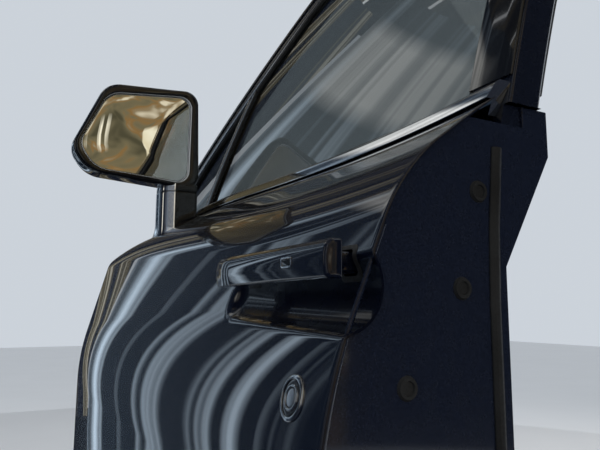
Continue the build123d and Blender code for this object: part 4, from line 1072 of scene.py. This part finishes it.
gaskets = []
for x in (PIVOT_X, REAR_FOOT_X):
    edge = oblong(x - 14, x + 14, HANDLE_Z - 14, HANDLE_Z + 13, 5, 6, 5)
    hole = oblong(x - 9.6, x + 9.6, HANDLE_Z - 9.6, HANDLE_Z + 9.6, 3.4, 6, 5)
    gaskets.append(sweep([on_skin(edge, -1.0), on_skin(edge, 0.3), on_skin(edge + (hole - edge) * 0.3, 0.9),
                          on_skin(hole, 0.8), on_skin(hole, -3.0)], True))
mould("handle_gaskets", gaskets, rubber, "rubber")

grained = Finish("grained_plastic", Roughness=0.55)
grain = grained.node("ShaderNodeTexVoronoi", {"feature": "SMOOTH_F1"}, Vector=grained.place, Scale=900.0)
grained.colour(grained.noise(18.0, 3.0), (0.3, 0.016), (0.7, 0.026))
grained.gloss(grain, 0.1, 0.6, 0.42, 0.62)
grained.relief(grain, 0.00018)
keep(grained, "plastic", handle_carrier=0.8)


# Lock cap: a proud bright ring with a dished black field and a plain bright disc, pressed into
# the skin under the handle's rear end.
lock_x, lock_z = LOCK
lock_out = np.array([(skin_at(lock_x + 5, lock_z) - skin_at(lock_x - 5, lock_z)) / 10, -1.0,
                     (skin_at(lock_x, lock_z + 5) - skin_at(lock_x, lock_z - 5)) / 10])
lock_seat = (np.array([lock_x, skin_at(*LOCK), lock_z]), lock_out / np.linalg.norm(lock_out))


def turned(profile, seat, sides=72):
    """Closed round form on a seat, a place and its outward direction, from (radius, height) points."""
    centre, out = seat
    side = np.cross((0, 0, 1), out)
    side /= np.linalg.norm(side)
    up = np.cross(out, side)
    away = [math.cos(a) * side + math.sin(a) * up for a in (2 * math.pi * k / sides for k in range(sides))]
    return sweep([[centre + one * r + out * h for r, h in profile] for one in away], True)


def disc(radius, low, high, edge, dome, seat):
    """Solid disc with a rounded edge and a domed or dished face."""
    rise = [(radius * f, high + dome * (1 - f**2)) for f in (0.02, 0.2, 0.4, 0.6, 0.8)]
    return turned([(0.02 * radius, low), *rise, (radius - edge, high), (radius - edge * 0.3, high - edge * 0.3),
                   (radius, high - edge), (radius, low)], seat)


satin = Finish("satin_silver", Metallic=1.0)
satin.colour(satin.noise(60.0), (0.3, (0.66, 0.67, 0.69)), (0.7, (0.74, 0.75, 0.77)))
satin.gloss(satin.noise(320.0, 2.0, (1, 1, 0.15)), 0.3, 0.7, 0.28, 0.42)
ring = loop([(13.2, -3.0), (13.2, 1.6), (14.4, 2.0), (16.5, 1.2), (16.5, -3.0)], (0.4, 0.5, 1.2, 1.3, 0.4), 5)
mould("lock_bright_ring", turned(ring, lock_seat), bright, "bright", "lock_ring")
mould("lock_field", disc(13.1, -4.0, 1.0, 0.4, -0.35, lock_seat), gloss_black, "gloss_black", "lock_cap")
mould("lock_inner_ring", turned(ribbon(7.4, 9.4, 0.5, 1.9, 0.2, 0.8, 5), lock_seat), bright, "bright")
mould("lock_plain_disc", disc(6.4, 0.5, 1.55, 0.5, 0.25, lock_seat), satin, "bright")


# Mirror stalk: a cast column on the door's shoulder, gloss black inboard, with a bright cover
# outboard that flares out to meet the skin. The head turns on the pin at its top.
STALK_TOP = 318.0
STALK_FRONT, STALK_REAR = 304.0, 369.0
STALK_EDGE = 1.6
FLARE_TOP = 258.0
FLARE_H = 58.0
FLARE = 21.0
FOOT_Z = 240.0
FOLD = (334.0, 18.0)


def cover_plan(z):
    """Plan of the bright cover at a height: its foot spreads in a smooth curve."""
    spread = FLARE * (max(FLARE_TOP - z, 0.0) / FLARE_H)**2.1
    corners = [(STALK_FRONT - spread, 1.7), (STALK_FRONT + 8 - spread, -23 - spread),
               (STALK_REAR - 12 + spread, -24 - spread), (STALK_REAR + spread, 1.7)]
    return loop(corners, (0.6, 19, 20, 0.6), 10, 6)


def stalk_plan(z):
    """Plan of the black column, which is the same at every height."""
    return loop([(STALK_FRONT, 2.0), (STALK_REAR, 2.0), (STALK_REAR, 46.0), (STALK_FRONT + 18, 46.0)],
                (0.6, 0.6, 6, 10), 8, 6)


def shoulder_z(x, y):
    """Height of the skin's outer face over the shoulder at x and y."""
    upper = blend(OUTER_ROWS, x)[:110]
    order = np.argsort(upper[:, 0])
    return float(np.interp(y, upper[order, 0], upper[order, 1]))


def column(plan_at):
    """Closed column from the skin's face up to the stalk's top, its plan given at each height."""
    feet_z = []
    for k in range(len(plan_at(FOOT_Z))):
        z = FOOT_Z
        for _ in range(24):
            z = 0.5 * z + 0.5 * (shoulder_z(*plan_at(z)[k]) + 0.35)
        feet_z.append(z)
    neck_z = STALK_TOP - STALK_EDGE
    loops = []
    for f in np.concatenate([np.linspace(0, 0.5, 13)**1.3 / 0.5**0.3, np.linspace(0.5, 1, 13)[1:]]):
        heights = [foot + (neck_z - foot) * f for foot in feet_z]
        loops.append([(*plan_at(z)[k], z) for k, z in enumerate(heights)])
    top = np.array(loops[-1])[:, :2]
    away = top - top.mean(0)
    for lift, inward in ((0.45, 0.12), (0.8, 0.4), (1.0, 1.0)):
        ring = top - away * (inward * STALK_EDGE / np.linalg.norm(away, axis=1)[:, None])
        loops.append(np.column_stack([ring, np.full(len(ring), neck_z + STALK_EDGE * lift)]))
    return sweep(loops)


def upright_pin(x, y, z0, z1, radius, edge=0.5, sides=32):
    away = [(math.cos(a), math.sin(a)) for a in (2 * math.pi * k / sides for k in range(sides))]
    return sweep([[(x + r * u, y + r * v, z) for u, v in away] for z, r in (
        (z0, radius - edge), (z0 + edge, radius), (z1 - edge, radius), (z1, radius - edge))])


mould("stalk_cover", column(cover_plan), bright, "bright", "mirror_stalk_shell", angle=42.0)
mould("stalk_column", [column(stalk_plan), upright_pin(*FOLD, 317.0, 335.0, 9.0)], gloss_black, "gloss_black",
      "mirror_stalk", angle=42.0)


# Mirror head: a moulded gloss-black bowl with a rounded rim, open to the rear, that folds on the
# stalk with its collar, which is black inboard and bright outboard as the stalk is. The convex
# glass sits on a backing plate inside a silver line.
RIM_X = 364.0
RIM_ROUND = 8.0
HEAD = ((-191.0, 384.0), (-134.0, 511.0), (44.0, 523.5), (50.0, 323.0), (-160.0, 339.0))
PANE = ((-178.0, 392.0), (-130.0, 492.5), (30.0, 509.5), (27.0, 334.5), (-150.0, 347.0))
head_loop = loop(HEAD, (34.0, 45.0, 26.0, 28.0, 55.0), 14, 10)
pane_loop = loop(PANE, (30.0, 45.0, 22.0, 25.0, 50.0), 14, 10)
head_mid, pane_mid = np.mean(HEAD, axis=0), np.mean(PANE, axis=0)
BACK_X = (364.0, 330.0, 290.0, 264.0)
BACK_SIZE = (1.0, 0.99, 0.86, 0.6)
NOSE_X = 264.4
TURN_X = 277.0


def bowl_size(x):
    """Size of the bowl's section at x, against its rim."""
    return blend(BACK_SIZE, x, BACK_X)


def at_x(x, yz):
    """A flat loop of y and z stood up at one x."""
    return np.column_stack([np.full(len(yz), x), yz])


def rim_edge(x, outline=head_loop):
    """Outline of the head near its rear edge, drawn in by the edge's rounding at x."""
    lap = max(x - RIM_X - 3 + RIM_ROUND, 0.0)
    away = outline - head_mid
    inward = (RIM_ROUND - math.sqrt(max(RIM_ROUND**2 - lap**2, 0.0))) / np.linalg.norm(away, axis=1)
    return outline - away * inward[:, None]


slope = (bowl_size(TURN_X + 0.5) - bowl_size(TURN_X)) / 0.5
p0 = np.array([TURN_X, bowl_size(TURN_X)])
p1 = p0 - np.array([1.0, slope]) * 6.0
p2, p3 = np.array([NOSE_X, 0.46]), np.array([NOSE_X, 0.02])
sections = [(1 - f)**3 * p0 + 3 * (1 - f)**2 * f * p1 + 3 * (1 - f) * f**2 * p2 + f**3 * p3
            for f in np.linspace(1, 0, 18)]
sections += [(x, bowl_size(x)) for x in np.linspace(TURN_X, RIM_X, 28)[1:]]
bowl = [at_x(x, rim_edge(x, head_mid + (head_loop - head_mid) * size)) for x, size in sections]
bowl += [at_x(x, pane_loop) for x in (RIM_X, RIM_X - 12)]
mould("mirror_bowl", sweep(bowl), gloss_black, "gloss_black", "mirror_housing", body="mirror_head", angle=40.0)

rim = []
for f in np.linspace(0, 1, 9):
    x = RIM_X + 3 - 3 * (1 - f)**1.6
    rim.append(at_x(x, rim_edge(x - 0.001)))
edge_loop = rim[-1][:, 1:]


def between(*places):
    """Rings between the rim's edge and the glass's outline, each at a share of the way and an x."""
    return [at_x(x, edge_loop + (pane_loop - edge_loop) * share) for share, x in places]


rim += between((0.3, 367.0), (0.80, 367.0), (0.87, 366.6), (0.90, 365.8), (0.90, 364.0))
line = between((0.905, 362.0), (0.905, 365.3), (0.93, 365.8), (0.985, 365.5), (1.02, 364.2), (1.02, 361.5))
mould("mirror_rim", sweep(rim, True), gloss_black, "gloss_black", "mirror_bezel", body="mirror_head")
silver = Finish("silver_line", Metallic=0.3, Coat_Weight=0.5)
silver.colour(silver.noise(40.0), (0.3, (0.60, 0.61, 0.62)), (0.7, (0.70, 0.71, 0.71)))
silver.gloss(silver.noise(260.0), 0.3, 0.7, 0.30, 0.44)
mould("mirror_silver_line", sweep(line, True), silver, "bright", body="mirror_head")

mirror = Finish("silvered_glass", Metallic=1.0, Roughness=0.0)
haze = mirror.noise(5.0)
mirror.colour(haze, (0.3, (0.80, 0.82, 0.83)), (0.7, (0.84, 0.855, 0.86)))
mirror.gloss(haze, 0.3, 0.7, 0.0, 0.012)
away = pane_loop - pane_mid
away -= away * (1.2 / np.linalg.norm(away, axis=1)[:, None])
crown = [at_x(x, pane_mid + away * size) for size, x in (
    (1.0, 359.0), (1.0, 361.9), (0.996, 362.2), (0.97, 362.3), (0.85, 362.65), (0.7, 363.0), (0.5, 363.35),
    (0.3, 363.55), (0.1, 363.65), (0.02, 363.65))]
mould("mirror_pane", sweep(crown), mirror, "mirror", "mirror_glass", body="mirror_head", angle=60.0)
keep(grained, "plastic", "mirror_head", mirror_backing=0.8)

for name, plan, *fitting in (
        ("head_neck", stalk_plan(STALK_TOP), gloss_black, "gloss_black", "mirror_collar"),
        ("head_neck_cover", cover_plan(STALK_TOP), bright, "bright")):
    rings = [[(*(FOLD + (p - FOLD) * size), z) for p in plan]
             for z, size in ((318.7, 0.97), (319.0, 0.985), (319.8, 0.99), (330.0, 0.98), (334.0, 0.96))]
    mould(name, sweep(rings), *fitting, body="mirror_head", angle=42.0)


# Inside trim: a moulded panel clipped to the door, wrapped in black-brown leather with a sewn
# line. Its armrest, padded insert and map pocket are wrapped in the same hide, and the insert is
# quilted by three channels.
leather = Finish("black_brown_leather", Roughness=0.45)
hide = leather.node("ShaderNodeTexVoronoi", {"feature": "DISTANCE_TO_EDGE"}, Vector=leather.place, Scale=620.0)
tone = leather.noise(34.0, 4.0)
creases = leather.range(hide, 0.0, 0.16)
leather.colour(leather.mix(creases, (0.026, 0.021, 0.018),
                           leather.ramp(tone, (0.3, (0.066, 0.055, 0.048)), (0.7, (0.094, 0.080, 0.070)))))
leather.gloss(creases * tone, 0.2, 0.7, 0.62, 0.40)
leather.relief(creases + tone * 0.8, 0.00022)
keep(leather, "leather", trim_panel=1.5, armrest=2.0, map_pocket=1.6)

ARM_TOP = 34.0
INNER_FACE_Y = 56.0
HIDE_Y = 118.05
PULL_IN = 2.2
PUCKER_STEP = 15.0


def rise_at(x):
    """How far the door's inboard face stands in at x: the door narrows towards the rear."""
    return (DOOR_REAR - x) * TAPER


class Pad:
    """Padded form: sides that pull in between the corners, a sewn groove all round, and a crown."""

    def __init__(self, middle, half, corner, thick, seam, place):
        self.middle, self.half, self.corner = middle, half, corner
        self.thick, self.seam, self.place = thick, seam, place

    def outline(self, inward, straight):
        """The pad's outline drawn inward, as two rows of distances from its middle."""
        a, b = self.half
        u, v = a - inward, b - inward
        flat = oblong(-u, u, -v, v, min(max(self.corner - inward, 0.6), v * 0.98), 8, straight)
        return (flat[:, 0] * (1 - PULL_IN / a * (1 - (flat[:, 1] / b)**2)),
                flat[:, 1] * (1 - PULL_IN / b * (1 - (flat[:, 0] / a)**2)))

    def ring(self, outline, heights):
        return [self.place(self.middle[0] + u, self.middle[1] + v, h) for u, v, h in zip(*outline, heights)]

    def upholster(self, name, node, channels=(), straight=96):
        seam, b = self.seam, self.half[1]
        inmost = b - 1.5
        profile = [(inmost, 0.0), (b * 0.5, 0.0), (1.6, 0.0), (0.3, 0.14), (0.0, 0.34), (0.25, 0.55),
                   (1.2, 0.72), (2.6, 0.82), (4.4, 0.87), (seam - 2.4, 0.90), (seam - 1.1, 0.86), (seam, 0.78),
                   (seam + 1.1, 0.86), (seam + 2.6, 0.90)]
        profile += [(seam + 2.6 + (inmost - seam - 2.6) * f, 0.90 + 0.16 * math.sin(f * math.pi / 2))
                    for f in np.linspace(0.08, 1, 16)]
        rings = []
        for inward, lift in profile:
            u, v = self.outline(inward, straight)
            waves = 1 + np.cos((u + 1.7 * v) * (2 * math.pi / PUCKER_STEP))
            pucker = 0.05 * math.exp(-((inward - seam) / 3.0)**2) * waves
            height = lift - pucker * min(lift, 1)
            for at in channels:
                height = height - lift * 0.38 * np.exp(-((u - at) / 4.5)**2) * min(1.0, inward / 6)
            rings.append(self.ring((u, v), self.thick * height))
        piece = mould(name, sweep(rings), leather, "leather", node, angle=60.0)

    def seam_line(self):
        """Line of the stitches just outside the sewn groove."""
        outline = self.outline(self.seam - 2.6, 24)
        return self.ring(outline, np.full(len(outline[0]), self.thick * 0.90 + 0.05))


arm_pad = Pad((882.5, 90.0), (137.5, 22.0), 8.0, 12.0, 7.5, lambda x, y, h: (x, y + rise_at(x), ARM_TOP + h))
door_pad = Pad((720.0, -187.5), (330.0, 87.5), 30.0, 9.0, 12.0,
               lambda x, z, h: (x, INNER_FACE_Y + 1.6 + rise_at(x) + h, z))
arm_pad.upholster("armrest_cushion", "armrest_pad")
door_pad.upholster("door_cushion", "trim_padding", channels=(-165.0, 0.0, 165.0), straight=170)

thread = Finish("sewing_thread", Roughness=0.6)
twist = thread.node("ShaderNodeTexWave", {"bands_direction": "DIAGONAL"}, Vector=thread.place, Scale=520.0)
thread.colour(twist, (0.3, (0.34, 0.30, 0.24)), (0.7, (0.46, 0.41, 0.33)))
thread.relief(twist, 0.00008)

stitches = Pattern("stitches", Pitch=0.0044, Length=0.0034, Thickness=0.0008)
long, thin = stitches.size("Length"), stitches.size("Thickness")
arch = stitches.node("GeometryNodeCurveQuadraticBezier", Resolution=6,
                     Start=stitches.at(long * -0.5, 0.0, thin * -0.7),
                     Middle=stitches.at(0.0, 0.0, thin * 1.5), End=stitches.at(long * 0.5, 0.0, thin * -0.7))
strand = stitches.node("GeometryNodeCurvePrimitiveCircle", Resolution=6, Radius=thin * 0.5)
stitch = stitches.node("GeometryNodeCurveToMesh", Curve=arch, Profile_Curve=strand, Fill_Caps=True)
seam_curve = stitches.node("GeometryNodeMeshToCurve", Mesh=stitches.size("Geometry"))
spots = stitches.node("GeometryNodeCurveToPoints", {"mode": "LENGTH"}, out=None, Curve=seam_curve,
                      Length=stitches.size("Pitch"))
stitches.repeat(stitch, Maths(spots.outputs["Points"]), stitches.node(
    "FunctionNodeAlignRotationToVector", {"axis": "X", "pivot_axis": "Z"}, Rotation=stitches.outward(),
    Vector=Maths(spots.outputs["Tangent"])))

for name, points, outward, closed in (
        ("armrest", arm_pad.seam_line(), (0, 0, 1), True), ("door_pad", door_pad.seam_line(), (0, 1, 0), True),
        ("armrest_front", [(x, HIDE_Y + rise_at(x), 16.0) for x in (425.0, 1018.0)], (0, 1, 0), False),
        ("map_pocket", [(x, HIDE_Y + rise_at(x), -311.0) for x in (415.0, 990.0)], (0, 1, 0), False)):
    count = len(points)
    edges = [(k, (k + 1) % count) for k in range(count if closed else count - 1)]
    fit(stitches.spread(name + "_stitches", thread, points, outward, edges), thread, "leather")

wood = Finish("dark_veneer", Roughness=0.18, Coat_Weight=1.0, Coat_Roughness=0.03)
figure = wood.ramp(wood.noise(11.0, 5.0, (0.25, 3.0, 3.0), Distortion=1.2), (0.30, (0.012, 0.007, 0.005)),
                   (0.46, (0.040, 0.022, 0.013)), (0.54, (0.018, 0.010, 0.007)), (0.70, (0.055, 0.031, 0.018)))
pore = wood.range(wood.noise(420.0, 2.0, (0.05, 1, 1)), 0.55, 0.68)
wood.colour(wood.mix(pore, figure, (0.006, 0.004, 0.003)))
keep(wood, "veneer", veneer_strip=0.8)
keep(gloss_black, "plastic", switch_panel=0.7)
keep(bright, "bright", release_bezel=1.2, release_lever=1.4, door_pull=1.6)


# Speaker grille: a moulded ring pressed into the trim round a domed, finely perforated sheet, with
# the dark back of the pod behind its holes. Each hole is cut in a six-sided cell, and the cells
# are joined and given their thickness.
GRILLE_X, GRILLE_Z = 270.0, -300.0
GRILLE_OUT = 60.0
SHEET_DEEP = 3.6
grille_out = np.array((math.sin(math.radians(1.0)), math.cos(math.radians(1.0)), 0.0))
grille_seat = (np.array((GRILLE_X, GRILLE_OUT + rise_at(GRILLE_X), GRILLE_Z)), grille_out)

holes = Pattern("perforations", Rows=37, Pitch=0.0046, Hole=0.0015, Thick=0.0009, Radius=0.0785, Dome=0.0026)
rows, pitch, hole, edge_r = (holes.size(name) for name in ("Rows", "Pitch", "Hole", "Radius"))
number = holes.node("GeometryNodeInputIndex")
position = holes.node("GeometryNodeInputPosition")
spot = holes.node("ShaderNodeSeparateXYZ", out=None, Vector=position)
radius_2 = Maths(spot.outputs["X"]) ** 2.0 + Maths(spot.outputs["Y"]) ** 2.0
lattice = holes.node("GeometryNodeMeshGrid", Size_X=(rows - 1) * pitch * 0.866, Size_Y=(rows - 1) * pitch,
                     Vertices_X=rows, Vertices_Y=rows)
column_number = number.ask("FLOOR", number / rows)
lattice = holes.node("GeometryNodeSetPosition", Geometry=lattice,
                     Offset=holes.at(y=column_number.folded(1.0) * pitch * 0.5))
lattice = holes.node("GeometryNodeDeleteGeometry", {"domain": "POINT"}, Geometry=lattice,
                     Selection=radius_2.above(edge_r * edge_r))
mouth = holes.node("GeometryNodeMeshCircle", Vertices=12, Radius=hole)
web = holes.node("GeometryNodeExtrudeMesh", {"mode": "EDGES"}, out=None, Mesh=mouth, Offset=holes.at(),
                 Offset_Scale=1.0)
hexagon_r = pitch * 0.57735 * (1 - number.folded(1.0) * 0.13397)
drawn_out = holes.node("ShaderNodeVectorMath", {"operation": "SCALE"}, Vector=position, Scale=hexagon_r / hole)
cell = holes.node("GeometryNodeSetPosition", Geometry=Maths(web.outputs["Mesh"]),
                  Selection=Maths(web.outputs["Top"]), Position=drawn_out)
cells = holes.node("GeometryNodeRealizeInstances", Geometry=holes.node(
    "GeometryNodeInstanceOnPoints", Points=lattice, Instance=cell))
sheet = holes.node("GeometryNodeMergeByDistance", Geometry=cells, Distance=0.0002)
lifted = holes.node("GeometryNodeExtrudeMesh", {"mode": "FACES"}, Mesh=sheet, Offset=holes.at(z=1.0),
                    Offset_Scale=holes.size("Thick"), Individual=False)
plate = holes.node("GeometryNodeMergeByDistance", Distance=0.00005,
                   Geometry=holes.node("GeometryNodeJoinGeometry", Geometry=[sheet, lifted]))
holes.end(holes.node("GeometryNodeSetPosition", Geometry=plate, Offset=holes.at(
    z=holes.size("Dome") * (1 - radius_2 / (edge_r * edge_r)))))

perforated = holes.spread("grille_perforated_sheet", grained, [(0, 0, 0)], (0, 0, 1))
seat = Matrix((np.cross((0, 0, 1), grille_out), (0, 0, 1), grille_out)).transposed().to_4x4()
seat.translation = Vector(grille_seat[0] - grille_out * SHEET_DEEP) * MM
perforated.data.transform(seat)
fit(perforated, grained, "grille", "speaker_grille")
ring = loop([(85.0, -5.2), (85.0, -0.6), (83.0, 0.0), (78.8, 0.0), (76.5, -2.2), (76.5, -5.2)],
            (0.4, 1.2, 1.5, 1.6, 1.0, 0.4))
mould("grille_ring", turned(ring, grille_seat, 128), grained, "grille")
mould("grille_pod_back", disc(77.5, -5.2, -4.6, 0.3, 0.0, grille_seat), rubber, "grille")
